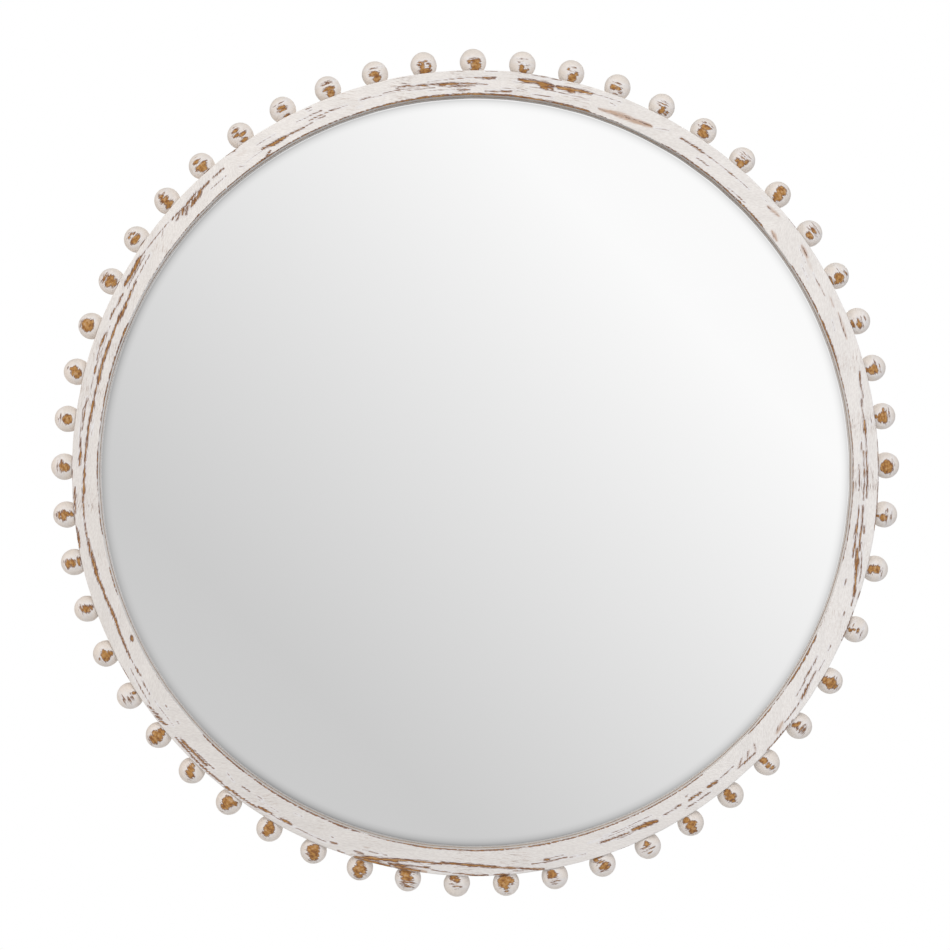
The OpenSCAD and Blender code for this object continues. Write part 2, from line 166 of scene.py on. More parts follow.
    (254.8, 13.4, 260.4, 10.8, 0.6, 0.8), (247.0, 15.4, 249.0, 15.4, 0.6, 0.6),
    (244.0, 20.8, 244.6, 22.0, 1.8, 1.1), (259.4, 1.2, 262.0, 1.6, 1.5, 1.0),
    (264.2, 1.4, 266.2, 2.4, 0.9, 0.95), (266.0, 2.2, 267.9, 2.8, 1.2, 1.0),
    (264.8, 14.8, 265.4, 15.2, 0.4, 0.5), (271.2, 7.6, 272.9, 7.8, 1.6, 1.1),
    (272.8, 7.8, 275.0, 7.4, 0.8, 0.9), (275.0, 6.4, 279.0, 6.0, 0.5, 0.7),
    (276.2, 7.8, 281.0, 8.0, 0.8, 0.8), (279.2, 6.2, 280.8, 9.4, 0.6, 0.7),
    (284.7, 9.3, 285.6, 9.1, 1.2, 1.0), (282.0, 9.8, 288.0, 9.8, 0.5, 0.7),
    (270.2, 12.4, 274.0, 13.2, 1.0, 1.0), (273.8, 13.2, 279.4, 14.4, 1.2, 1.05),
    (279.0, 14.8, 280.6, 14.6, 2.2, 1.1), (280.4, 14.4, 283.6, 14.8, 1.0, 1.0),
    (283.4, 15.2, 284.6, 15.0, 2.6, 1.1), (284.4, 14.8, 286.8, 14.6, 1.6, 1.1),
    (286.6, 14.8, 290.0, 15.0, 1.6, 1.1), (289.8, 15.2, 292.5, 15.0, 1.4, 1.05),
    (292.7, 15.6, 295.9, 15.4, 2.2, 1.1), (295.6, 15.4, 299.4, 14.0, 1.0, 1.0),
    (299.2, 13.2, 304.0, 11.8, 0.5, 0.7), (275.6, 17.4, 278.0, 17.4, 0.5, 0.6),
    (287.0, 11.0, 292.0, 9.8, 0.4, 0.6), (286.6, 8.4, 288.6, 7.6, 0.7, 0.8),
    (288.6, 7.6, 290.8, 8.4, 1.6, 0.9), (292.8, 7.4, 294.6, 7.8, 0.9, 0.9),
    (295.0, 8.6, 296.9, 8.0, 1.1, 0.9), (298.3, 6.4, 300.4, 6.8, 2.4, 1.15),
    (300.2, 6.6, 302.8, 5.2, 2.2, 1.15), (298.0, 10.0, 303.4, 8.4, 0.5, 0.7),
    (303.0, 6.0, 309.2, 7.4, 0.5, 0.7), (307.0, 11.0, 308.2, 7.4, 0.5, 0.6),
    (309.8, 8.2, 312.6, 9.6, 0.8, 0.9), (310.2, 12.2, 311.4, 9.8, 1.0, 0.9),
    (311.4, 13.0, 312.2, 10.2, 1.0, 0.95), (311.8, 15.6, 312.9, 11.2, 1.1, 0.95),
    (312.9, 9.6, 315.2, 7.8, 1.3, 1.0), (313.2, 13.6, 315.2, 12.2, 1.5, 1.05),
    (313.6, 11.6, 315.2, 10.8, 0.9, 0.95), (314.8, 12.8, 316.0, 9.0, 2.2, 1.05),
    (315.6, 9.6, 317.6, 8.4, 1.0, 0.95), (318.4, 8.4, 320.4, 8.2, 0.8, 0.9),
    (317.0, 15.2, 320.0, 15.2, 0.8, 0.6),
    # Top arc, left of the top
    (322.4, 15.8, 323.0, 18.6, 0.7, 0.7), (323.5, 16.6, 326.6, 16.2, 0.4, 0.5),
    (323.0, 0.8, 323.4, 0.8, 1.0, 0.9), (326.7, 14.8, 328.4, 16.2, 1.2, 1.0),
    (328.0, 16.2, 330.3, 16.4, 2.6, 1.1), (330.2, 16.4, 333.6, 17.0, 0.8, 0.9),
    (326.4, 23.4, 327.6, 20.2, 0.8, 0.9), (326.4, 9.0, 329.4, 9.2, 0.4, 0.6),
    (333.4, 16.6, 335.2, 15.6, 0.5, 0.7), (335.0, 1.8, 335.8, 2.4, 0.5, 0.7),
    (335.2, 4.4, 335.8, 4.6, 0.5, 0.65), (335.2, 8.8, 337.0, 9.0, 0.8, 0.76),
    (333.0, 9.0, 335.2, 9.2, 0.4, 0.6), (334.8, 12.8, 336.2, 12.6, 0.8, 0.76),
    (336.0, 12.6, 340.8, 12.8, 0.5, 0.7), (335.8, 14.8, 337.2, 15.2, 0.6, 0.7),
    (338.0, 11.8, 339.0, 12.0, 0.5, 0.7), (342.8, 12.2, 344.4, 12.2, 0.8, 0.8),
    (344.2, 12.8, 346.6, 13.4, 0.4, 0.55), (342.0, 18.2, 343.0, 18.4, 0.5, 0.5),
    (348.4, 9.8, 350.4, 9.6, 0.8, 0.82), (346.4, 11.8, 352.0, 12.2, 0.5, 0.64),
    (350.2, 10.4, 352.6, 10.8, 0.7, 0.8), (352.2, 11.4, 355.2, 11.8, 0.8, 0.9),
    (354.8, 12.8, 357.5, 12.6, 2.0, 1.1), (357.4, 12.4, 360.2, 13.2, 0.7, 0.9),
    (353.0, 8.8, 356.0, 8.4, 0.4, 0.55), (355.8, 8.0, 360.0, 7.2, 0.5, 0.62),
    (350.0, 14.0, 354.0, 15.0, 0.5, 0.7), (356.0, 15.2, 360.0, 14.6, 0.7, 0.85),
    (357.4, 18.6, 359.2, 18.6, 0.9, 0.85), (353.0, 17.4, 357.0, 17.8, 0.4, 0.6),
)

# Where sanding only smeared the paint of the front to a thin tan, in rows like those of DASHES
SMEARS = (
    (18.8, 17.6, 21.6, 17.0, 3.6, 1.2), (20.4, 16.8, 25.2, 15.8, 6.0, 1.28),
    (24.2, 15.4, 27.0, 13.6, 4.6, 1.35), (47.6, 7.4, 49.8, 6.0, 4.6, 0.95),
    (50.8, 20.2, 52.4, 22.2, 4.4, 1.1), (55.2, 5.8, 57.0, 7.6, 4.6, 1.1),
    (57.0, 8.6, 59.0, 10.4, 4.4, 0.55), (60.6, 11.4, 63.0, 11.6, 2.8, 0.7),
    (63.6, 7.4, 65.2, 8.6, 2.8, 0.8), (66.2, 7.0, 70.2, 8.8, 3.2, 0.85),
    (129.0, 7.4, 130.8, 5.0, 4.8, 0.95), (134.1, 13.8, 134.8, 8.0, 2.6, 0.95),
    (135.0, 7.2, 138.4, 7.8, 2.2, 0.85), (135.3, 13.2, 136.4, 9.4, 2.4, 0.9),
    (136.8, 12.4, 138.2, 8.6, 2.2, 0.85), (187.0, 1.2, 191.4, 2.6, 4.2, 1.2),
    (323.2, 6.6, 324.6, 8.0, 6.0, 0.45),
)

# How far the ring's inner arris is worn, in millimetres, at these degrees
ARRIS_WEAR = (
    (0, 1.5), (4, 1.3), (5, 1.5), (17, 1.5), (18, 0.5), (29, 0.5), (31, 1.0), (45, 1.1), (49, 1.2),
    (50, 0.2), (56, 0.2), (57, 0.9), (66, 0.9), (67, 1.5), (71, 1.4), (75, 0.6), (90, 0.7), (103, 0.8),
    (104, 0.4), (115, 0.4), (116, 1.3), (123, 1.4), (124, 0.7), (128, 0.4), (129, 0.9), (133, 0.8),
    (134, 0.2), (142, 0.2), (143, 0.8), (167, 0.9), (168, 1.3), (171, 1.2), (173, 0.7), (176, 1.2),
    (179, 0.9), (189, 1.1), (191, 0.6), (197, 0.6), (200, 1.7), (202, 1.1), (225, 1.1), (227, 0.3),
    (251, 0.3), (252, 0.8), (255, 0.7), (256, 0.2), (260, 0.3), (261, 0.9), (264, 0.8), (266, 0.3),
    (270, 0.8), (274, 0.8), (275, 0.3), (278, 0.9), (290, 1.1), (292, 1.6), (294, 0.5), (312, 0.5),
    (313, 1.0), (314, 0.5), (324, 0.8), (326, 1.3), (328, 0.7), (335, 1.0), (350, 1.2), (352, 1.6),
)

# How far the ring's hand-sawn outline strays outwards, in millimetres, at these degrees
OUTLINE_DRIFT = (
    (0, -0.5), (14, -0.4), (30, -0.3), (44, 0.2), (58, 0.5), (78, 0.5), (96, 0.1), (140, 0.0), (220, 0.0),
    (276, 0.1), (292, 0.5), (312, 0.5), (328, -0.3), (345, -0.5),
)

# How far the hand-cut opening strays outwards, in millimetres, at these degrees
OPENING_DRIFT = ((0, 0.9), (30, 0.8), (60, 0.7), (90, 0.5), (120, 0.2), (180, -0.2), (240, 0.1), (300, 0.4))

# How far the ring's outer arris is drawn worn, in millimetres, at these degrees: partly real wear, and partly
# painted shade where the arris turns down and meets the balls
OUTER_WEAR_AND_SHADE = (
    (6, 0), (8, 0.5), (12, 0.5), (13, 0), (50, 0), (51, 0.5), (53, 0.5), (54, 0), (79, 0), (80.5, 0.7),
    (82.5, 0.7), (84, 0.1), (86, 0.8), (98, 0.8), (99, 0), (109, 0), (110, 0.9), (114.5, 0.9), (115, 0),
    (118, 0.4), (121, 0.3), (122, 0.1), (126, 0.3), (134, 0.4), (143, 0.4), (145, 0.2), (150, 0.4),
    (153, 0.2), (156, 0.4), (159, 0.4), (160, 0), (196, 0), (198, 0.6), (203, 0.4), (204, 0), (238, 0),
    (240, 0.8), (242, 0.6), (243, 0), (256, 0.2), (262, 0.8), (265, 0.7), (266, 0), (269, 0.8), (272, 0.8),
    (273, 0), (321, 0), (322, 0.6), (324, 0.6), (325, 0),
)

# How deep the painted shade on the paint inside the opening is, from 0 to 1, at these degrees: deepest at the
# top, where the wall faces down
LIP_SHADE = (
    (0, 0.58), (14, 0.53), (30, 0.66), (48, 0.44), (64, 0.16), (80, 0.0), (118, 0.0), (140, 0.18),
    (170, 0.24), (210, 0.34), (240, 0.2), (262, 0.0), (290, 0.0), (312, 0.16), (338, 0.34),
)

# How much the face of the ring is darkened, from 0 to 1, at these degrees: most at the lower left
FACE_DIMMING = (
    (0, 0.08), (30, 0.09), (60, 0.05), (90, 0.05), (120, 0.01), (150, 0.08), (180, 0.11), (210, 0.18),
    (240, 0.12), (270, 0.12), (300, 0.07), (330, 0.02),
)

# The sanded places on each ball, clockwise from the top, read off with the ring side
# down: each place's middle clockwise and outwards, its width and its height. A row without a
# height is a thin streak, and a negative width is paint that stayed. In SPOT_UNIT
SPOT_UNIT = 0.96 * MM
BALL_SPOTS = (
    ((-0.2, -3, 5, 8), (2.6, -6, 4.6, 3.6), (6, -4, 1.8, 1.8), (4, 0.6, 4), (-1, 6, 6), (-2, 2.4, 4)),
    ((2, -4, 8, 9), (5, 0.3, 4, 3.5), (-0.5, -1.5, 4, 3), (1, -7.5, 5, 4), (-3.5, 4, 2, 1.8),
     (1.5, 6.5, 3.5), (1.5, 3, 6)),
    ((-4, -0.8, 6.5, 5.6), (1, -0.8, 6, 3.6), (4.5, -3.6, 3.5, 2), (-0.5, 4.5, 6), (0, -6.5, 3)),
    ((2.4, -2, 4.6, 8), (1, -5, 6, 3.5), (7.5, -2, 2.4, 1.8), (6.3, -5, 3, 1.8), (-2.5, 1, 4),
     (-1, 3.6, 7), (1, 6, 4.5)),
    ((0.8, -1.8, 12, 8), (-1, 4.6, 8.5, 5.6), (-3, 8, 3, 2), (3, 6.3, 4, 1.4), (-5, 1.8, -4, 1.2),
     (-5.5, 3, 4)),
    ((1.2, -3.2, 7.5, 7.5), (4.4, 1.5, 3.4, 5.5), (-3, -1.8, 5, 3), (-4, -4, 2.4, 1.4), (0.5, 7.4, 6.5),
     (-2.5, 3, 5), (-2, 5, 5)),
    ((0, 5.5, 10.5, 9.5), (1.5, -0.5, 10, 9), (1.5, -5, 5, 3)),
    ((-0.2, 5.6, 9, 2.8), (2, -0.6, 8.6, 6), (-3.5, 2.4, 5), (0, 8.8, 8), (5.5, 4.6, 3)),
    ((3.4, 2.4, 11.5, 9), (2, -5.8, 7, 2.6), (6, -1, 4, 6), (2.6, 10, 5, 2), (2.5, -2.2, -3.5, 2),
     (-3, 5, 4)),
    ((4, 0.8, 7.5, 4.6), (-1, 1.6, 4, 1.6), (1.6, -5, 7, 3.2), (1, 8.6, 4), (1, 5.3, 4.5)),
    ((1.2, 2.6, 10.6, 4.6), (2, -1, 8.4, 7.5), (0.5, -5.5, 4.5, 3.5), (-3, 3.8, 6, 1.3), (1, 7.3, 6),
     (1.5, 6, 5)),
    ((1, 2.2, 13, 6.4), (1.5, -1.5, 9, 7), (-6, 2.4, 3, 1.6), (-0.3, -5.6, 3.6, 3.2), (-1.5, 7.4, 7)),
    ((2, 1, 13, 12.5), (-4, 1, 3, 4), (-2, 6.6, 5)),
    ((3.2, -0.6, 7, 6.4), (2, -5.3, 2.2, 3), (1, 3.2, 8, 1.1), (0.5, 7.4, 6), (-2, 1.8, 3)),
    ((0.3, 2, 8.4, 7.4), (1.8, -4, 8.4, 5), (0, -1.5, 7, 4), (2, 7.8, 5)),
    ((0.5, 3.2, 5, 2.6), (0.4, 0, 1.4, 4.5), (2, -4.2, 4, 3.8), (0.5, 7.5, 6), (-3, -3, 3)),
    ((1.2, 2.8, 12, 9.4), (2, 8.4, 5.5, 3.5), (1.5, -4, 8, 6), (-4.5, 5, 3), (-4.5, 2, 3)),
    ((0.6, 6.6, 6.6, 2), (0.2, 4.2, 7.6, 2), (0, -1.5, 7, 3.6), (2.2, -4, 4.8, 3.6), (3.4, 1.2, 2.4, 1.4)),
    ((0.3, 7.4, 4.8, 4.2), (1, 3.4, 6, 5.2), (0.7, -2.6, 7, 7), (3.5, -5.5, 2.4, 2.5), (1.5, 1.6, -3, 1)),
    ((1.2, 7, 4.4, 3.4), (0.4, 2.8, 10, 6.6), (4.8, 1, 3.6, 5.6), (1.5, -3.2, 8, 8), (5.6, -2, -2, 1.6)),
    ((2, 7.4, 8, 6), (1, 2.6, 12, 7.5), (2.6, -3.6, 7.5, 6.4), (-0.3, 10, 2, 2)),
    ((0.4, -1, 7, 3.6), (0.4, -3.2, 3.6, 3.4), (4.5, 0.6, 4, 1), (-2.5, 3.8, 5), (3, 4, 5), (0.5, 7.4, 4)),
    ((-1, 4, 11, 6), (-3, 1.6, 7, 3.4), (1.5, -2, 7, 2.6), (5, -5, 4.6, 4.6), (1, -6.6, 6, 1.6),
     (1.5, 7.3, 5)),
    ((1.8, -0.6, 10, 5.4), (3, -3.7, 8.4, 5.6), (0, 5.6, 6.5), (1, 8, 5)),
    ((0.3, 5.2, 5.4, 4.6), (0, 8.6, 3.6, 1.6), (1, -1.6, 14.4, 10.6), (4, 3, 6, 4), (-6, -1, 4, 6),
     (1.5, -7, 9, 4), (-4.4, 2.8, -4.6, 2)),
    ((-0.8, 3.4, 5, 1.2), (0.2, -3, 6.6, 4.6), (4, -5.2, 7, 4.8), (1.5, -6.8, 6, 2.6), (3.6, 1, 4.5)),
    ((-0.6, 8.4, 7, 1.1), (3, 6.6, 4.5, 1.2), (0, 4, 9, 1.2), (0.6, 0.4, 12, 6.6), (3.2, -4, 11.6, 6.4),
     (1, -7.5, 16, 3)),
    ((-0.8, 3, 14, 10.5), (-1, 8.5, 8.5, 4.5), (0.5, -4, 8, 5), (-4, 5.6, -3, 1.4)),
    ((-2.4, 4.6, 10, 9.4), (0.6, 0, 12.6, 10), (-0.6, -4.8, 7.6, 4), (3.4, 6, 4)),
    ((0, 0.8, 11, 11), (0.6, 6.6, 7.4, 4.4), (2, -4.6, 7, 5)),
    ((0.3, 6.6, 8.4, 6.4), (0.6, 1.6, 12, 10.4), (-6, -2, 5.4, 4.6), (1.4, -2.6, 8.6, 5)),
    ((-1.3, 4, 10.4, 6.4), (1.6, 0.2, 7.6, 6.4), (3, -3.6, 5, 4.4)),
    ((-0.3, 7, 10.4, 6.4), (0.2, 1.8, 12.4, 8.6), (0.5, -3.6, 8.6, 6), (0, -6, 4.4, 3)),
    ((-2.8, 3, 5.6, 1.3), (-2.8, -0.6, 3.8, 1.5), (0.2, -4.6, 3, 4.4), (0, 8, 6), (2, 6.6, 4)),
    ((-1.8, 1.8, 10.6, 8.6), (-1.6, -3.4, 5.8, 5), (3.4, 1.6, 3, 1.4), (-2, 8.4, 2, 1.4)),
    ((1.4, 6, 7, 1.7), (0.6, 2.2, 8.4, 6), (-0.4, 0.2, 7.6, 4.4), (0.5, -3.6, 5.4, 4)),
    ((-0.6, 6.6, 9, 5), (-0.4, 4.4, 6.4, 3.4), (-0.3, 1.8, 8.6, 5.8), (-0.2, -4.7, 9, 3.8)),
    ((0.2, 7.5, 6.4, 3), (-0.7, 3, 10.8, 6.2), (0, -0.8, 5, 4), (0, -5, 5.4, 3.6)),
    ((0.6, 3.1, 11, 4), (-0.8, -1.2, 8, 8), (0, 7, 6)),
    ((-0.6, 7.7, 5.6, 1.2), (-0.4, 0.6, 10, 9.6), (5, -0.4, -3, 2.4)),
    ((0.2, 2.2, 10.4, 7.4), (-1.6, -0.6, 9.6, 8.4), (1.4, 7, 2.4, 3), (3.5, -0.5, -2, 1)),
    ((-0.6, 4, 13.2, 12), (2.6, 1.2, 8, 5), (-0.6, 10.2, 5, 1.4)),
    ((-0.6, 2.2, 13, 8), (0, 8, 9.6, 3), (-0.4, -3, 9, 4.4), (0.6, 6.4, -4.4, 1.6), (0, -6.4, 6)),
    ((-1, 1.4, 12.4, 6.6), (-3, 7.6, 2.4, 2.6), (1.4, 8.4, 3.6, 1.4), (3.4, 6, 2.6, 1.6), (0.5, -6, 5)),
    ((-1, 7.4, 5.6, 4), (-1.4, 3, 9.6, 4.8), (-1.4, -3.8, 9.8, 5.2), (-1.6, 0.2, 6, 4), (3, 8, 3)),
    ((-1, 7, 7.4, 2.8), (-0.4, 1, 14, 5.4), (-0.4, -2.6, 9, 5.6), (0, -7, 5, 1.4)),
    ((-1.4, 7, 7.6, 3.4), (-2.6, 2.4, 7, 3.4), (2.6, 0.4, 7.6, 3), (0.8, -5.4, 7, 3.8)),
    ((-1.2, 3.4, 6.4, 3.6), (-0.2, 0.2, 9.6, 3), (2.8, 2.6, 2, 2.4), (0.6, -6.8, 7, 2.8), (0, 7.2, 7)),
    ((0.8, 0.5, 10.8, 4), (1.6, -4.5, 7.8, 8.2), (1, 6, 7, 1), (0, 8, 4)),
    ((-0.8, 1, 10, 5.4), (0.8, -4.2, 7.2, 7.2), (4.6, -4, 2, 2.4), (1, 6.6, 7)),
    ((-0.8, 1.4, 3.4, 5), (-3.2, 4.2, 3, 1.3), (2.4, 4.2, 2.6, 1.2), (-4.4, 1.2, 3, 1.3),
     (5, 1.4, 3, 1.3), (1, -5.4, 11.6, 5.6), (6, -2, 2.4, 4), (-1.6, -2, 5, 5)),
    ((3, 1.6, 8.6, 5), (-2.8, 0.4, 5.4, 3.8), (2.8, -3, 10, 8.6), (2, -7.2, 9, 5.6), (-1.4, 0.4, -2, 1.6),
     (0, 4.2, 6)),
)


def linear(code):
    """An sRGB hex colour as linear red, green, blue and alpha."""
    shares = [int(code[i:i + 2], 16) / 255 for i in (1, 3, 5)]
    return tuple(c / 12.92 if c <= 0.04045 else ((c + 0.055) / 1.055) ** 2.4 for c in shares) + (1.0,)


def opaque(colour, share=1.0):
    """A share of a colour, with full alpha."""
    return tuple(share * c for c in colour[:3]) + (1.0,)


def points_of(node):
    """The vertices of a construction node, one row of x, y and z each."""
    vertices = frame["nodes"][node].data.vertices
    points = np.empty(len(vertices) * 3, np.float32)
    vertices.foreach_get("co", points)
    return points.reshape(-1, 3).astype(float)


def clock(points):
    """The clockwise angle from the top and the distance from the mirror's axis."""
    return np.arctan2(points[:, 0], points[:, 2]), np.hypot(points[:, 0], points[:, 2])


def turned_from(angles, start):
    """Angles measured from a start, within half a turn of it."""
    return (angles - start + math.pi) % TURN - math.pi


def out_of(angle):
    """The unit vector that points out from the mirror's axis at a clockwise angle."""
    return Vector((math.sin(angle), 0.0, math.cos(angle)))


def along(angle):
    """The unit vector that points clockwise along the ring at an angle."""
    return Vector((math.cos(angle), 0.0, -math.sin(angle)))


def round_table(rows, angles):
    """Reads a table of degrees and values all round the ring."""
    stations, values = zip(*rows)
    return np.interp(np.degrees(angles) % 360, stations, values, period=360)


def wander(angles, seed, slowest, fastest):
    """Smooth unevenness round the ring, mostly between -1 and 1, the same on each run."""
    rng = np.random.default_rng(seed)
    waves = rng.integers(slowest, fastest, 10)
    starts = rng.uniform(0, TURN, 10)
    return sum(np.sin(w * angles + s) for w, s in zip(waves, starts)) / 3


class Ring:
    """The ring's planes and radii, read off the construction."""

    points = np.concatenate([points_of(arc) for arc in ARCS])
    radii = clock(points)[1]
    front, back = points[:, 1].min(), points[:, 1].max()
    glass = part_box("mirror_glass")[0].y
    outer, sight = radii.max(), radii.min()
    rebate = radii[points[:, 1] > back - 0.1 * MM].min()


def outline(angles):
    """The outer radius of the hand-sawn ring."""
    return Ring.outer + (round_table(OUTLINE_DRIFT, angles) + 0.12 * wander(angles, 5, 20, 90)) * MM


def ball_places():
    """Each ball's angle and the construction node that it is in, clockwise from the top."""
    places = []
    for node in sorted(name for name in frame["nodes"] if name.startswith("bead_pair")):
        angles = clock(points_of(node))[0]
        middle = math.atan2(np.sin(angles).mean(), np.cos(angles).mean())
        offsets = turned_from(angles, middle)
        for side in (offsets[offsets < 0], offsets[offsets > 0]):
            places.append(((middle + (side.min() + side.max()) / 2) % TURN, node))
    return sorted(places)


def make_piece(name, vertices, faces, material, body="root", replaced=(), crease=35):
    """A new mesh piece that rides on a body and stands for construction nodes."""
    mesh = bpy.data.meshes.new(name)
    mesh.from_pydata(np.asarray(vertices).tolist(), [], faces)
    mesh.validate()
    shell = bmesh.new()
    shell.from_mesh(mesh)
    bmesh.ops.recalc_face_normals(shell, faces=shell.faces)
    shell.to_mesh(mesh)
    shell.free()
    mesh.shade_smooth()
    mesh.set_sharp_from_angle(angle=math.radians(crease))
    mesh.materials.append(material)
    piece = bpy.data.objects.new(name, mesh)
    bpy.context.scene.collection.objects.link(piece)
    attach(piece, body)
    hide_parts(*replaced)
    return piece


def dress_node(node, material):
    """Gives a construction node that keeps its shape its finish."""
    slots = frame["nodes"][node].data.materials
    slots.clear()
    slots.append(material)


def keep_numbers(piece, **fields):
    """Stores numbers or places on a piece's vertices for its material to read."""
    for name, values in fields.items():
        flat = np.asarray(values, np.float32).ravel()
        single = flat.size == len(piece.data.vertices)
        field = piece.data.attributes.new(name, "FLOAT" if single else "FLOAT_VECTOR", "POINT")
        field.data.foreach_set("value" if single else "vector", flat)


def grid_faces(rows, columns, close_rows=False, close_columns=False):
    """Quads over a grid of vertices stored row by row."""
    faces = []
    for i in range(rows if close_rows else rows - 1):
        below, above = i * columns, (i + 1) % rows * columns
        for j in range(columns if close_columns else columns - 1):
            k = (j + 1) % columns
            faces.append((below + j, below + k, above + k, above + j))
    return faces


def capped_rings(rows, columns):
    """Faces over closed rings of vertices, capped at both ends."""
    faces = grid_faces(rows, columns, close_columns=True)
    faces.append(tuple(range(columns - 1, -1, -1)))
    faces.append(tuple(range((rows - 1) * columns, rows * columns)))
    return faces


def placed(points, origin, x_axis, y_axis, z_axis):
    """Points from a piece's own axes to the mirror's."""
    return np.asarray(points) @ np.array((x_axis, y_axis, z_axis)) + np.array(origin)


def feed(node, inputs):
    """Sets inputs of a node, or links them where another node or one of its outputs is given."""
    for socket, value in inputs.items():
        if isinstance(value, bpy.types.Node):
            value = next(output for output in value.outputs if output.enabled)
        if isinstance(value, bpy.types.NodeSocket):
            node.id_data.links.new(value, node.inputs[socket])
        else:
            node.inputs[socket].default_value = value


def add_node(tree, kind, inputs=None, stops=None, **settings):
    """Adds a shader node, sets its properties and its colour stops, and sets or links its inputs."""
    node = tree.nodes.new(kind)
    for name, value in settings.items():
        setattr(node, name, value)
    feed(node, inputs or {})
    if stops:
        ramp = node.color_ramp
        while len(ramp.elements) < len(stops):
            ramp.elements.new(1.0)
        for element, (place, colour) in zip(ramp.elements, stops):
            element.position = place
            element.color = colour
    return node


# Sockets of the mix node, for numbers and for colours
NUMBER_A, NUMBER_B, COLOUR_A, COLOUR_B = 2, 3, 6, 7


def new_material(name, kept=None):
    """A material, its surface shader, and where each point lies: a place kept on the vertices,
    or else the piece's own coordinates."""
    material = bpy.data.materials.new(name)
    material.use_nodes = True
    tree = material.node_tree
    shader = next(node for node in tree.nodes if node.type == "BSDF_PRINCIPLED")
    if kept:
        place = add_node(tree, "ShaderNodeAttribute", attribute_name=kept).outputs["Vector"]
    else:
        place = add_node(tree, "ShaderNodeTexCoord").outputs["Object"]
    return material, shader, place


def mottle(shader, place, size, detail, stops):
    """Lets a surface wander between colours in soft patches, and gives the patches back."""
    tree = shader.id_data
    patches = add_node(tree, "ShaderNodeTexNoise", {"Vector": place, "Scale": 1 / size, "Detail": detail})
    feed(shader, {"Base Color": add_node(tree, "ShaderNodeValToRGB", {"Fac": patches}, stops)})
    return patches


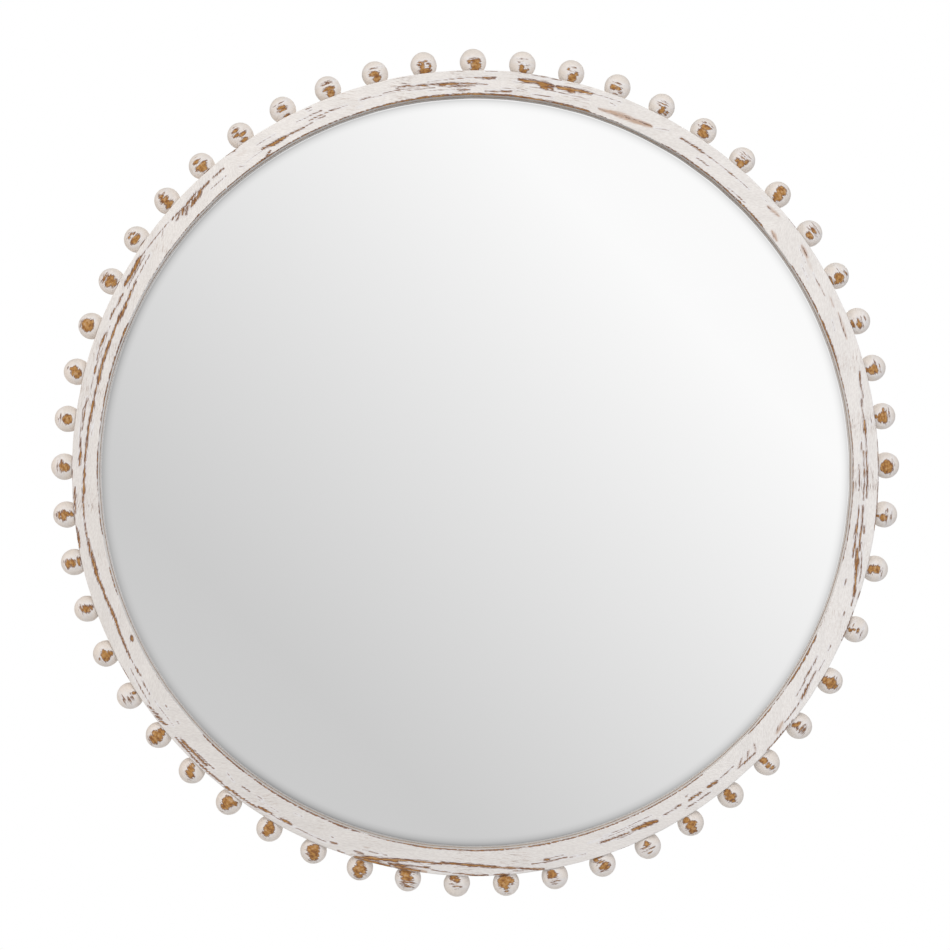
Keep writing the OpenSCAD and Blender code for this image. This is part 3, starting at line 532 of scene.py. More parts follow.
def sanded_paint(name, paint, finish, sizes, shares, heart):
    """Chalk paint brushed on mango wood, dried, then sanded through by hand. It is matt and
    warm white, with ragged golden bare places inside a thin, dark, stained rim. The shares are
    how strongly fibres and chips break the edge, the heart where the golden wood starts."""
    material, shader, place = new_material(name, "grain")
    tree = material.node_tree
    bare, combed, shade_and_dimming, smeared = (
        add_node(tree, "ShaderNodeAttribute", attribute_name=field).outputs["Fac"]
        for field in ("bare", "combed", "shade_and_dimming", "smeared")
    )
    # Wood fibres and brush marks are finer than 0.1 mm: these are drawn coarse enough to show
    noise = {}
    for label, size in sizes.items():
        per_size = tuple(1 / (mm * MM) for mm in size)
        stretched = add_node(tree, "ShaderNodeVectorMath", {0: place, 1: per_size}, operation="MULTIPLY")
        noise[label] = add_node(
            tree, "ShaderNodeTexNoise", {"Vector": stretched, "Scale": 1.0, "Detail": 3.0, "Roughness": 0.6}
        )
    # The edge of a bare place frays along the fibres, and chips of paint stay or go
    frayed, chipped = (
        add_node(tree, "ShaderNodeMapRange", {"Value": noise[label], "To Min": -part / 2, "To Max": part / 2})
        for label, part in zip(("fibre", "chip"), shares)
    )
    rough_edge = add_node(tree, "ShaderNodeMath", {0: frayed, 1: chipped}, operation="ADD")
    beside = add_node(tree, "ShaderNodeMapRange", {"Value": bare, "From Min": 0.2, "From Max": 0.42})
    opened = add_node(tree, "ShaderNodeMath", {0: rough_edge, 1: beside, 2: bare}, operation="MULTIPLY_ADD")
    # Round it only the crests of the grain are rubbed through, in fine lines
    limits = {"From Min": 0.46, "From Max": 0.66, "To Max": 0.62}
    crests = add_node(tree, "ShaderNodeMapRange", {"Value": noise["streak"], **limits})
    lines = add_node(tree, "ShaderNodeMath", {0: crests, 1: combed}, operation="MULTIPLY")
    level = add_node(tree, "ShaderNodeMath", {0: opened, 1: lines}, operation="MAXIMUM")
    share = {}
    for label, source, low, high in (
        ("cleaned", bare, 0.05, 0.4), ("thin", level, 0.2, 0.44), ("rim", level, 0.44, 0.53),
        ("heart", level, *heart), ("cloudy", noise["cloud"], 0.35, 0.7),
        ("brushed", noise["brush"], 0.36, 0.64),
    ):
        limits = {"Value": source, "From Min": low, "From Max": high}
        share[label] = add_node(tree, "ShaderNodeMapRange", limits, interpolation_type="SMOOTHSTEP")
    # A brush mark is only a breath darker than the paint
    brushed = add_node(tree, "ShaderNodeMath", {0: share["brushed"], 1: 0.3}, operation="MULTIPLY")
    # A smear is combed and frayed the same way, but never reaches the wood
    ragged = add_node(tree, "ShaderNodeMath", {0: frayed, 1: smeared}, operation="ADD")
    limits = {"From Min": 0.1, "From Max": 1.1, "To Max": 1.15}
    combing = add_node(tree, "ShaderNodeMapRange", {"Value": ragged, **limits})
    smear = add_node(tree, "ShaderNodeMath", {0: combing, 1: smeared}, operation="MULTIPLY", use_clamp=True)
    woods = ((0.36, finish.dark_wood), (0.54, finish.golden_wood), (0.71, finish.pale_wood))
    stops = [(figure, opaque(wood)) for figure, wood in woods]
    colour = paint
    for mask, coat in (
        (share["cloudy"], opaque(paint, 0.94)),
        (brushed, opaque(finish.brush_mark)),
        # Painted shade in the opening and at the balls' seats, and the face darkened round the ring
        (shade_and_dimming, opaque(finish.shade_and_dimming_tint)),
        (share["cleaned"], opaque(finish.rubbed_paint)),
        (smear, opaque(finish.smeared_paint)),
        (share["thin"], opaque(finish.thin_paint)),
        (share["rim"], opaque(finish.stained_rim)),
        (share["heart"], add_node(tree, "ShaderNodeValToRGB", {"Fac": noise["figure"]}, stops)),
    ):
        layers = {0: mask, COLOUR_A: colour, COLOUR_B: coat}
        colour = add_node(tree, "ShaderNodeMix", layers, data_type="RGBA")
    roughness = add_node(tree, "ShaderNodeMapRange", {"Value": share["rim"], "To Min": 0.55, "To Max": 0.75})
    # The paint film stands this much proud of the wood, and fibres and brush marks a little
    film = add_node(tree, "ShaderNodeMath", {0: share["rim"], 1: -1.0, 2: 1.0}, operation="MULTIPLY_ADD")
    relief = film
    for label, height in (("fibre", 0.25), ("brush", 0.15)):
        added = {0: noise[label], 1: height, 2: relief}
        relief = add_node(tree, "ShaderNodeMath", added, operation="MULTIPLY_ADD")
    bump = add_node(tree, "ShaderNodeBump", {"Height": relief, "Strength": 0.6, "Distance": 0.15 * MM})
    feed(shader, {"Base Color": colour, "Roughness": roughness, "Normal": bump})
    return material


def silvered_glass(finish):
    """Float glass, silvered on its back: a clean reflection, and a painted soft shadow of the lip
    on the silver next to it, weakest at the upper right."""
    material, shader, place = new_material("silvered_float_glass")
    tree = material.node_tree
    flat = add_node(tree, "ShaderNodeVectorMath", {0: place, 1: (1.0, 0.0, 1.0)}, operation="MULTIPLY")
    radius = add_node(tree, "ShaderNodeVectorMath", {0: flat}, operation="LENGTH")
    # Millimetres in from the lip, and how bright the silver is drawn there under the lip's painted shadow
    lip_shadow = (
        (0.0, 0.93), (1.5, 0.82), (2.2, 0.46), (3.15, 0.585), (4.1, 0.69), (5.2, 0.78), (5.9, 0.83),
        (7.9, 0.926), (9.8, 0.985), (12.0, 1.0),
    )
    reach = lip_shadow[-1][0]
    limits = {"From Min": Ring.sight, "From Max": Ring.sight - reach * MM}
    inwards = add_node(tree, "ShaderNodeMapRange", {"Value": radius, **limits})
    stops = [(depth / reach, opaque(finish.silver, share)) for depth, share in lip_shadow]
    edge = add_node(tree, "ShaderNodeValToRGB", {"Fac": inwards}, stops)
    # The painted shadow is weakest at the upper right, and weak in one place at the lower left
    outwards = add_node(tree, "ShaderNodeVectorMath", {0: flat}, operation="NORMALIZE")
    right, left = (
        add_node(tree, "ShaderNodeVectorMath", {0: outwards, 1: way}, operation="DOT_PRODUCT")
        for way in ((0.82, 0.0, 0.57), (-0.966, 0.0, -0.259))
    )
    widely = add_node(
        tree, "ShaderNodeMapRange", {"Value": right, "From Min": -1.0, "To Min": 0.04, "To Max": 0.56}
    )
    nearby = add_node(
        tree, "ShaderNodeMapRange", {"Value": left, "From Min": 0.72, "From Max": 0.95, "To Max": 0.43}
    )
    clear = add_node(tree, "ShaderNodeMath", {0: widely, 1: nearby}, operation="MAXIMUM")
    colour = add_node(
        tree, "ShaderNodeMix", {0: clear, COLOUR_A: edge, COLOUR_B: opaque(finish.silver)}, data_type="RGBA"
    )
    feed(shader, {"Base Color": colour, "Metallic": 1.0, "Roughness": 0.0})
    return material


def plated_steel(finish):
    """Mild steel, stamped or drawn and then barrel-plated with zinc: cool grey, half bright,
    with a faint cloud from the bath."""
    material, shader, place = new_material("zinc_plated_steel")
    tree = material.node_tree
    dull = opaque(finish.zinc, 0.72)
    bath = mottle(shader, place, 4 * MM, 3.0, ((0.35, dull), (0.65, opaque(finish.zinc))))
    roughness = add_node(tree, "ShaderNodeMapRange", {"Value": bath, "To Min": 0.38, "To Max": 0.24})
    scratch = add_node(tree, "ShaderNodeTexNoise", {"Vector": place, "Scale": 1 / (0.5 * MM), "Detail": 2.0})
    bump = add_node(tree, "ShaderNodeBump", {"Height": scratch, "Strength": 0.15, "Distance": 0.05 * MM})
    feed(shader, {"Metallic": 1.0, "Roughness": roughness, "Normal": bump})
    return material


def pressed_board(finish):
    """Tempered hardboard, pressed from wet fibre between hot plates: brown and smooth, with
    short darker fibres lying every way."""
    material, shader, place = new_material("tempered_hardboard")
    tree = material.node_tree
    pulp = add_node(
        tree, "ShaderNodeTexNoise", {"Vector": place, "Scale": 1 / (14 * MM), "Detail": 5.0, "Roughness": 0.7}
    )
    dark, light = opaque(finish.board_dark), opaque(finish.board)
    middle = tuple((a + 3 * b) / 4 for a, b in zip(dark, light))
    ground = add_node(tree, "ShaderNodeValToRGB", {"Fac": pulp}, ((0.3, middle), (0.66, light)))
    # Fibres are about 0.5 mm across, drawn 1.5 mm so that they show
    fibres = add_node(tree, "ShaderNodeTexVoronoi", {"Vector": place, "Scale": 1 / (1.5 * MM)}, feature="F1")
    limits = {"From Min": 0.1, "From Max": 0.55, "To Min": 0.35, "To Max": 0.0}
    fleck = add_node(tree, "ShaderNodeMapRange", {"Value": fibres, **limits})
    colour = add_node(tree, "ShaderNodeMix", {0: fleck, COLOUR_A: ground, COLOUR_B: dark}, data_type="RGBA")
    bump = add_node(tree, "ShaderNodeBump", {"Height": fibres, "Strength": 0.25, "Distance": 0.1 * MM})
    feed(shader, {"Base Color": colour, "Roughness": 0.6, "Normal": bump})
    return material


def grey_card(finish):
    """Chipboard card made of recycled pulp: dull grey, mottled, quite matt."""
    material, shader, place = new_material("pulp_card")
    mottle(shader, place, 3 * MM, 4.0, ((0.3, opaque(finish.card, 0.75)), (0.7, opaque(finish.card))))
    feed(shader, {"Roughness": 0.9})
    return material


def turned_beech(finish):
    """Beech dowel stock, turned and left bare: pale pink-brown with short dark flecks."""
    material, shader, place = new_material("turned_beech_dowel")
    mottle(shader, place, 1.2 * MM, 3.0, ((0.3, opaque(finish.dowel, 0.6)), (0.6, opaque(finish.dowel))))
    feed(shader, {"Roughness": 0.7})
    return material


def moulded_rubber(finish):
    """Dark rubber, moulded: matt, with the fine sparkle of the mould's grain."""
    material, shader, place = new_material("moulded_rubber")
    dark = opaque(finish.rubber, 0.7)
    grain = mottle(shader, place, 0.8 * MM, 3.0, ((0.3, dark), (0.7, opaque(finish.rubber))))
    height = {"Height": grain, "Strength": 0.3, "Distance": 0.1 * MM}
    feed(shader, {"Roughness": 0.8, "Normal": add_node(material.node_tree, "ShaderNodeBump", height)})
    return material


def length(name, description, default, least, most):
    """A length in millimetres that a user may change."""
    return FloatProperty(
        name=name, description=description, default=default * MM, min=least * MM, max=most * MM, unit="LENGTH"
    )


def factor(name, description, default):
    """A strength that a user may change."""
    limits = {"min": 0.0, "max": 4.0}
    return FloatProperty(name=name, description=description, default=default, subtype="FACTOR", **limits)


def power(name, description, default):
    """A power in watts that a user may change."""
    limits = {"min": 0.0, "max": 500.0}
    return FloatProperty(name=name, description=description, default=default, unit="POWER", **limits)


def tint(name, description, code):
    """A colour that a user may change."""
    return FloatVectorProperty(
        name=name, description=description, default=linear(code)[:3], min=0.0, max=1.0, subtype="COLOR"
    )


class RingSettings(bpy.types.PropertyGroup):
    edge: length("Eased edge", "Radius of the hand-eased long edges", 1.2, 0.4, 2.5)
    step: length("Row spacing", "Distance between the rows of faces along the ring", 1.3, 0.5, 10)
    relief: length("Sanded depth", "How deep a sanded dash lies below the paint", 0.18, 0, 0.5)


class BallSettings(bpy.types.PropertyGroup):
    facet: length("Sanded facet", "How much the sanding took off the front of a ball", 0.35, 0, 1)
    step: length("Face size", "Size of the faces on the front of a ball", 0.55, 0.3, 2)


class FinishSettings(bpy.types.PropertyGroup):
    ring_fray: factor("Ring fibre", "How strongly the wood's fibres fray a sanded dash on the ring", 1.9)
    ring_chips: factor("Ring chips", "How strongly chips of paint break a sanded dash on the ring", 0.7)
    ball_fray: factor("Ball fibre", "How strongly the wood's fibres fray the sanded spot on a ball", 1.9)
    ball_chips: factor("Ball chips", "How strongly chips of paint break the sanded spot on a ball", 0.9)
    ring_paint: tint("Ring paint", "Chalk paint on the ring", "#F7F3EF")
    ball_paint: tint("Ball paint", "Chalk paint on the balls", "#ECE3DA")
    rubbed_paint: tint("Rubbed paint", "Paint that sanding cleaned to its white underlayer", "#ECEBED")
    thin_paint: tint("Thin paint", "Paint film rubbed almost through", "#C0AFA4")
    brush_mark: tint("Brush mark", "Hollow of a brush mark in the paint", "#C9C0BC")
    # Colour of the painted shade in the opening and at the balls' seats, and of the face's darkening
    shade_and_dimming_tint: tint("Shade", "Grime in the corners of the paint", "#857F77")
    smeared_paint: tint("Smeared paint", "Paint rubbed so thin that the wood warms it to tan", "#C2A692")
    stained_rim: tint("Stained rim", "Dark stain at the rim of a bare place", "#705044")
    golden_wood: tint("Golden wood", "Bare mango wood between its darker lines", "#B98747")
    pale_wood: tint("Pale wood", "Bare mango wood that still holds a little paint in its pores", "#C6A684")
    dark_wood: tint("Dark wood", "Darker lines in the bare mango wood", "#875830")
    silver: tint("Silver", "Colour of the silvered glass's reflection", "#F4F4F4")
    zinc: tint("Zinc", "Zinc plating on the steel parts", "#C9CBCA")
    board: tint("Hardboard", "Face of the backing board", "#AD8A64")
    board_dark: tint("Hardboard fibre", "Darker fibres in the backing board", "#7C5A3A")
    card: tint("Card", "Cushion sheet behind the glass", "#B2ADA3")
    dowel: tint("Dowel", "Turned beech of the dowels", "#D6B48C")
    rubber: tint("Rubber", "Bumper pads", "#4A4A4B")


class HardwareSettings(bpy.types.PropertyGroup):
    head: length("Screw head", "Diameter of the pan heads", 6.8, 5, 8)
    head_height: length("Head height", "Height of the pan heads", 1.8, 1, 2.2)
    recess: length("Cross recess", "Width of each arm of the cross recess", 1.1, 0.6, 1.4)
    shank: length("Screw shank", "Diameter of the screws under their heads", 3.5, 2, 4)
    shank_length: length("Screw length", "Length of the screws under their heads", 10, 6, 12)
    button_width: length("Turn button width", "Width of the turn buttons and of the straps", 12, 8, 14)
    button_reach: length("Turn button reach", "Length of the turn buttons from their screws", 17.5, 12, 20)
    strap_sheet: length("Strap sheet", "Thickness of the sheet that the straps are folded from", 0.9, 0.6, 1)
    strap_length: length("Strap length", "Length of the straps from the bar to their round ends", 30, 26, 36)
    pressed_edge: length("Pressed edge", "Radius that tumbling left on the edges", 0.25, 0.05, 0.4)


class StageSettings(bpy.types.PropertyGroup):
    hang: length("Hanging height", "Height of the mirror's centre above the floor", 1450, 500, 3000)
    floor: length("Floor radius", "Radius of the round studio floor", 4000, 1000, 20000)
    distance: length("Camera distance", "Distance from the camera to the wall", 2000, 1000, 10000)
    field: length("Picture width", "Width that the picture takes in at the balls' centres", 910.6, 500, 3000)
    left: length("Camera left", "How far the camera stands left of the mirror's axis", 0.2, -100, 100)
    below: length("Camera below", "How far the camera stands below the mirror's axis", 2, -100, 100)
    key: power("Key light", "Power of the soft light above the mirror", 5.0)
    side: power("Side lights", "Power that the soft lights beside the mirror take their shares of", 1.2)
    back: power("Back light", "Power of the soft light on the mirror's back", 21.0)


class MirrorSettings(bpy.types.PropertyGroup):
    ring: PointerProperty(name="Ring", description="Shape of the four arcs", type=RingSettings)
    balls: PointerProperty(name="Balls", description="Shape of the turned balls", type=BallSettings)
    hardware: PointerProperty(name="Hardware", description="Sizes of the steel parts", type=HardwareSettings)
    finish: PointerProperty(name="Finish", description="Colours of the finishes", type=FinishSettings)
    stage: PointerProperty(name="Stage", description="Studio round the mirror", type=StageSettings)


def ring_section(settings, angles):
    """The closed section at every angle: radius and depth, one row for an angle."""
    edge = settings.edge
    outer = outline(angles)
    sight = Ring.sight + (round_table(OPENING_DRIFT, angles) + 0.1 * wander(angles, 11, 15, 80)) * MM
    front = Ring.front + 0.12 * MM * wander(angles, 17, 4, 30)
    worn = round_table(ARRIS_WEAR, angles) * MM
    inner_edge = 0.6 * edge + 0.4 * worn
    outer_edge = edge * (1 + 0.25 * wander(angles, 23, 10, 60))
    outer, sight, front = outer[:, None], sight[:, None], front[:, None]
    inner_edge, outer_edge = inner_edge[:, None], outer_edge[:, None]
    corner = np.linspace(0, math.pi / 2, 6)
    wall = np.linspace(0, 1, 8)
    face = np.linspace(0, 1, 62)[1:-1]
    lip = np.linspace(0, 1, 7)[1:]
    back = np.linspace(0, 1, 18)
    stretches = (
        # Up the outer wall, from the back to the front
        (outer, Ring.back - edge + (front + outer_edge - Ring.back + edge) * wall),
        # Round the outer arris
        (outer - outer_edge * (1 - np.cos(corner[1:])), front + outer_edge * (1 - np.sin(corner[1:]))),
        # Across the face, from outside to inside
        (outer - outer_edge + (sight + inner_edge - outer + outer_edge) * face, front),
        # Round the inner arris and down the lip
        (sight + inner_edge * (1 - np.sin(corner)), front + inner_edge * (1 - np.cos(corner))),
        (sight, front + inner_edge + (Ring.glass - front - inner_edge) * lip),
        # The seat for the glass, then the back and its arris
        (Ring.rebate, Ring.glass),
        (Ring.rebate + (outer - edge - Ring.rebate) * back, Ring.back),
        (outer - edge * (1 - np.sin(corner[1:-1])), Ring.back - edge * (1 - np.cos(corner[1:-1]))),
    )
    rows = np.ones((len(angles), 1))
    pairs = [np.broadcast_arrays(rows, radius, depth)[1:] for radius, depth in stretches]
    return [np.hstack(side) for side in zip(*pairs)]


def dash_field(dashes, turns, inwards, middle, halo, fringe):
    """How bare each point of the face is, from 0 to about 1 with 0.5 at a dash's edge, and how
    much the crests of the grain round the dashes are rubbed."""
    bare, combed = np.zeros_like(inwards), np.zeros_like(inwards)
    face_radius = (Ring.outer + Ring.sight) / 2
    along_ring = turns * face_radius
    run = np.broadcast_to(along_ring[:, None], inwards.shape)
    for start, depth, end, end_depth, width, strength in dashes:
        begin = turned_from(math.radians(start), middle) * face_radius
        reach = math.radians(end - start) * face_radius
        near = (along_ring > begin - 2 * fringe) & (along_ring < begin + reach + 2 * fringe)
        if not near.any():
            continue
        step = np.array((reach, (end_depth - depth) * MM))
        x, y = run[near] - begin, inwards[near] - depth * MM
        share = np.clip((x * step[0] + y * step[1]) / (step @ step), 0, 1)
        off = np.hypot(x - share * step[0], y - share * step[1])
        # A dash is widest in its middle and runs out at its ends
        half = width * MM / 2 * (0.55 + 0.45 * np.sin(math.pi * share))
        inside = 1 - 0.5 * off / half
        outside = 0.5 * (1 - (off - half) / halo)
        field = strength * np.where(off < half, inside, np.clip(outside, 0, None))
        bare[near] = np.maximum(bare[near], field)
        # The rubbed crests reach further along the grain than across it
        beside = np.hypot((x - share * step[0]) / 2, y - share * step[1])
        rubbed = 1.1 * np.clip(1 - beside / fringe, 0, 1) * strength * min(1.0, 0.55 + width / 3)
        combed[near] = np.maximum(combed[near], rubbed)
    return bare, combed


def arc_wear(settings, turns, middle, slant, radius, depth):
    """How bare, combed and smeared the paint is at each point of an arc, and how much painted shade and
    dimming darken it.
    """
    angles = turns + middle
    inwards = outline(angles)[:, None] - radius
    bare, combed = dash_field(DASHES, turns, inwards, middle, halo=2.8 * MM, fringe=5.5 * MM)
    smeared = dash_field(SMEARS, turns, inwards, middle, halo=1.2 * MM, fringe=1.2 * MM)[0]
    on_face = (depth < Ring.front + 2 * settings.edge) & (radius < Ring.outer + MM)
    # The arris is rubbed bare from its corner, over the face and down the lip
    worn = round_table(ARRIS_WEAR, angles)[:, None] * MM
    opening = radius.min(axis=1, keepdims=True)
    from_corner = np.maximum(radius - opening, 0) + np.maximum(depth - Ring.front, 0)
    broken = 1 + 0.14 * wander(angles, 43, 120, 700)[:, None]
    arris = np.clip(1.05 - 0.55 * from_corner / worn, 0, 1) * broken * (radius < opening + 6 * MM)
    # The outer arris is drawn worn: partly real wear, partly painted shade where it turns down and meets the
    # balls
    outer_line = (round_table(OUTER_WEAR_AND_SHADE, angles)[:, None] + 0.01) * MM
    from_rim = np.maximum(inwards, 0) + np.maximum(depth - Ring.front, 0)
    rim = np.clip(1.05 - 0.55 * from_rim / outer_line, 0, 1)
    bare = np.where(on_face, np.maximum(bare, rim), 0)
    bare = np.maximum(bare, np.where(depth < Ring.glass - MM, arris, 0))
    # The block ran along the grain, so it left fewer marks where the ring turns across it
    faint = ((0.52 + 0.3 * wander(angles, 41, 6, 50)) * (1 - 0.8 * slant ** 2))[:, None]
    combed = np.where(on_face, np.maximum(combed, faint), 0)
    # The face darkened round the ring, most at the lower left, and painted shade on the wall of the opening,
    # deepest against the glass
    wall = (radius < opening + 0.05 * MM) & (depth < Ring.glass + 0.01 * MM)
    shade_depth = np.clip((depth - Ring.front - 0.5 * MM) / (3 * MM), 0, 1)
    face_dimming = np.where(on_face, round_table(FACE_DIMMING, angles)[:, None], 0)
    shade_and_dimming = np.where(wall, round_table(LIP_SHADE, angles)[:, None] * (0.6 + 0.4 * shade_depth), face_dimming)
    # Paint slopped over the back edge, and bare wood behind it
    lap = (4.5 + 2.2 * wander(angles, 31, 3, 28) + 0.7 * wander(angles, 37, 60, 260))[:, None] * MM
    behind = np.clip(0.5 + (inwards - lap) / (3 * MM), 0, 1.7)
    bare = np.where(depth > Ring.back - 0.01 * MM, behind, bare)
    hidden = (depth > Ring.glass - 0.01 * MM) & (radius < Ring.rebate + 0.01 * MM)
    bare = np.where(hidden, 1.7, bare)
    return {"bare": bare, "combed": combed, "shade_and_dimming": shade_and_dimming, "smeared": np.where(on_face, smeared, 0)}


def arc_piece(number, settings, material):
    """One quarter of the ring, worked from its end joints, with straight grain along it."""
    node = ARCS[number]
    spots = clock(points_of(node))[0]
    middle = math.atan2(np.sin(spots).mean(), np.cos(spots).mean())
    ends = turned_from(spots, middle)
    start, stop = ends.min(), ends.max()
    # Neighbours overlap by a hair, so that no light shows through a glued joint
    glue = 0.05 * MM / Ring.outer
    turns = np.linspace(start - glue, stop + glue, int((stop - start) * Ring.outer / settings.step))
    angles = turns + middle
    lean = turns - (stop + start) / 2
    radius, depth = ring_section(settings, angles)
    wear = arc_wear(settings, turns, middle, lean / (stop - start) * 2, radius, depth)
    # Sanding dishes the face a little below the paint
    dish = np.clip((wear["bare"] - 0.35) / 0.4, 0, 1) * settings.relief
    depth = depth + np.where(depth < Ring.front + 0.5 * MM, dish, 0)
    sine, cosine = np.sin(angles)[:, None], np.cos(angles)[:, None]
    vertices = np.stack((radius * sine, depth, radius * cosine), -1).reshape(-1, 3)
    piece = make_piece(
        node.replace("frame", "ring"), vertices, capped_rings(*radius.shape), material,
        replaced=(node,),
    )
    # The grain runs straight, from a board of its own
    board = 0.5 * number
    sine, cosine = np.sin(lean)[:, None], np.cos(lean)[:, None]
    keep_numbers(piece, grain=np.stack((radius * sine + board, radius * cosine, depth), -1), **wear)


class MIRROR_OT_ring_arcs(bpy.types.Operator):
    """Builds the four arcs of the ring, with their sanded dashes and worn inner arris"""

    bl_idname = "beaded_mirror.ring_arcs"
    bl_label = "Ring arcs"

    def execute(self, context):
        settings = context.scene.beaded_mirror
        finish = settings.finish
        # Millimetres along the ring, across it and into it
        sizes = {
            "fibre": (9, 0.8, 0.8), "chip": (9, 2, 2), "streak": (11, 0.55, 0.8),
            "figure": (14, 1.7, 2), "brush": (4, 1, 1), "cloud": (70, 9, 20),
        }
        material = sanded_paint(
            "sanded_chalk_paint_on_mango_ring", opaque(finish.ring_paint), finish, sizes,
            (finish.ring_fray, finish.ring_chips), (0.60, 0.86),
        )
        for number in range(len(ARCS)):
            arc_piece(number, settings.ring, material)
        return {"FINISHED"}


def sanded_spots(spots, x, y):
    """How bare a ball is at points seen from the front, 0.5 at the edge of a sanded place, and
    how much the crests of the grain are rubbed round it, most on its outward side."""
    # Nine units outside a place is too far for it to count
    inside, kept, rubbed = np.full((3, *x.shape), -9.0)
    for middle_x, middle_y, width, *height in spots:
        tall = height[0] if height else 0.9
        size = min(abs(width), tall) / 2
        # Roughly how far inside the place a point is
        within = (1 - np.hypot((x - middle_x) / (abs(width) / 2), (y - middle_y) / (tall / 2))) * size
        if width < 0:
            kept = np.maximum(kept, within)
        elif height:
            inside = np.maximum(inside, within)
            off = np.hypot((x - middle_x) / (width / 2 + 1), (y - middle_y - 1.4) / (tall / 2 + 1))
            rubbed = np.maximum(rubbed, (1 - off) * (size + 1))
        else:
            # A streak is only rubbed down to its stain
            inside = np.maximum(inside, np.minimum(within, 0) - 0.18)
    within = np.minimum(inside, -kept)
    bare = np.maximum(np.clip(0.53 + within / 2.8, 0, 1.3), 0.25 * np.clip(1 + within / 5, 0, 1))
    return bare, 0.85 * np.clip(1 + rubbed / 2.2, 0, 1)


def ball_grid(end, fine):
    """Angles from a ball's outer end and round its radial axis, up to the flat at its seat, in
    fine steps where the sanding shows and in larger ones elsewhere."""
    cap, side = math.radians(36), math.radians(62)
    crown = np.linspace(0, cap, int(cap / fine / 2), endpoint=False)[1:]
    waist = np.linspace(cap, end, int((end - cap) / fine))
    seen = np.linspace(-side, side, int(2 * side / fine))
    behind = np.linspace(side, TURN - side, int((TURN - 2 * side) / fine / 2.5) + 1)[1:-1]
    return np.concatenate((crown, waist)), np.concatenate((seen, behind))


def ball_faces(rows, columns):
    """Faces over a ball's rows, closed round one point at each end."""
    faces = [tuple(1 + v for v in face) for face in grid_faces(rows, columns, close_columns=True)]
    last = 1 + (rows - 1) * columns
    for j in range(columns):
        k = (j + 1) % columns
        faces.append((0, 1 + k, 1 + j))
        faces.append((last + columns, last + j, last + k))
    return faces


def ball_piece(number, angle, node, spots, settings, distance, material):
    """One turned ball: a lathe profile round the radial axis, a flat where it meets the ring,
    and a hand-sanded facet at its front."""
    points = points_of(node)
    lowest, highest = points[:, 1].min(), points[:, 1].max()
    size = (highest - lowest) / 2
    seat = clock(points)[1].max() - size
    rng = np.random.default_rng(100 + number)
    radius = size * rng.uniform(0.994, 1.0)
    flat = seat - outline(np.array([angle]))[0]
    lean, turn = ball_grid(math.acos(-flat / radius), settings.step / radius)
    # The chisel left faint rings, a few hundredths of a millimetre deep
    chisel = 0.02 * MM * np.sin(lean * 41 + rng.uniform(0, TURN)) * np.sin(lean)
    clockwise = np.sin(lean)[:, None] * np.sin(turn)
    deep = -np.sin(lean)[:, None] * np.cos(turn)
    outwards = np.cos(lean)[:, None] * np.ones(len(turn))
    # Hand sanding left no ball quite round: up to 0.4 mm came off in broad, soft flats
    pull = rng.normal(size=(3, 3))
    flats = sum(np.cos(3 * (a * clockwise + b * deep + c * outwards) + number) for a, b, c in pull) / 3
    swell = radius + chisel[:, None] - 0.4 * MM * np.clip(flats, 0, 1) * np.sin(lean)[:, None]
    clockwise, deep, outwards = clockwise * swell, deep * swell, outwards * swell
    # Seen from the front, the near side of a ball is shifted outwards
    seen = outwards - deep * seat / distance
    # The wear runs out before the ball's sides
    front = np.clip(-deep / (0.35 * radius), 0, 1)
    bare, combed = sanded_spots(spots, clockwise / SPOT_UNIT, seen / SPOT_UNIT)
    bare *= front
    # Painted shade lies in the corner between the ball and the ring
    shade_and_dimming = 0.45 * np.clip(1 - (outwards + flat) / (1.2 * MM), 0, 1)
    # The sanding block rode on the crown and made it a little flat
    crown = np.clip(1.35 - np.hypot(clockwise, outwards) / (0.55 * radius), 0, 1)
    planed = (0.7 * crown + 0.3 * np.minimum(bare, 1)) * settings.facet
    deep = np.where(deep < 0, np.minimum(deep + planed * front, 0), deep)
    grid = np.stack((clockwise, deep, outwards), -1).reshape(-1, 3)
    local = np.vstack(((0, 0, radius), grid, (0, 0, -flat)))
    centre = np.array(out_of(angle)) * seat + np.array((0, (highest + lowest) / 2, 0))
    piece = make_piece(
        f"bead_{number + 1:02d}", placed(local, centre, along(angle), (0, 1, 0), out_of(angle)),
        ball_faces(len(lean), len(turn)), material, replaced=(node,),
    )
    # Each ball has a grain of its own, and its two end points are painted
    stock = np.array((0.1 * number, 0.07 * number, 0.03 * number))
    wear = {"bare": bare, "combed": combed * front, "shade_and_dimming": shade_and_dimming}
    wear = {name: np.concatenate(((0,), values.ravel(), (0,))) for name, values in wear.items()}
    keep_numbers(piece, grain=local[:, (0, 2, 1)] + stock, **wear)


class MIRROR_OT_balls(bpy.types.Operator):
    """Builds the turned balls round the ring, each with its own sanded spot"""

    bl_idname = "beaded_mirror.balls"
    bl_label = "Turned balls"

    def execute(self, context):
        settings = context.scene.beaded_mirror
        finish = settings.finish
        # Millimetres along the ring, outwards from it and into the ball
        sizes = {
            "fibre": (5, 0.9, 5), "chip": (4.5, 2.4, 4.5), "streak": (4.5, 1.1, 4.5),
            "figure": (3.4, 2.4, 3.4), "brush": (2, 1, 2), "cloud": (20, 9, 20),
        }
        material = sanded_paint(
            "sanded_chalk_paint_on_mango_balls", opaque(finish.ball_paint), finish, sizes,
            (finish.ball_fray, finish.ball_chips), (0.53, 0.74),
        )
        places = ball_places()
        if len(places) != len(BALL_SPOTS):
            raise RuntimeError(f"{len(places)} balls, but {len(BALL_SPOTS)} sanded spots")
        for number, ((angle, node), spots) in enumerate(zip(places, BALL_SPOTS)):
            ball_piece(number, angle, node, spots, settings.balls, settings.stage.distance, material)
        return {"FINISHED"}


class MIRROR_OT_glass(bpy.types.Operator):
    """Silvers the glass that lies against the ring's lip"""

    bl_idname = "beaded_mirror.glass"
    bl_label = "Mirror glass"

    def execute(self, context):
        dress_node("mirror_glass", silvered_glass(context.scene.beaded_mirror.finish))
        return {"FINISHED"}


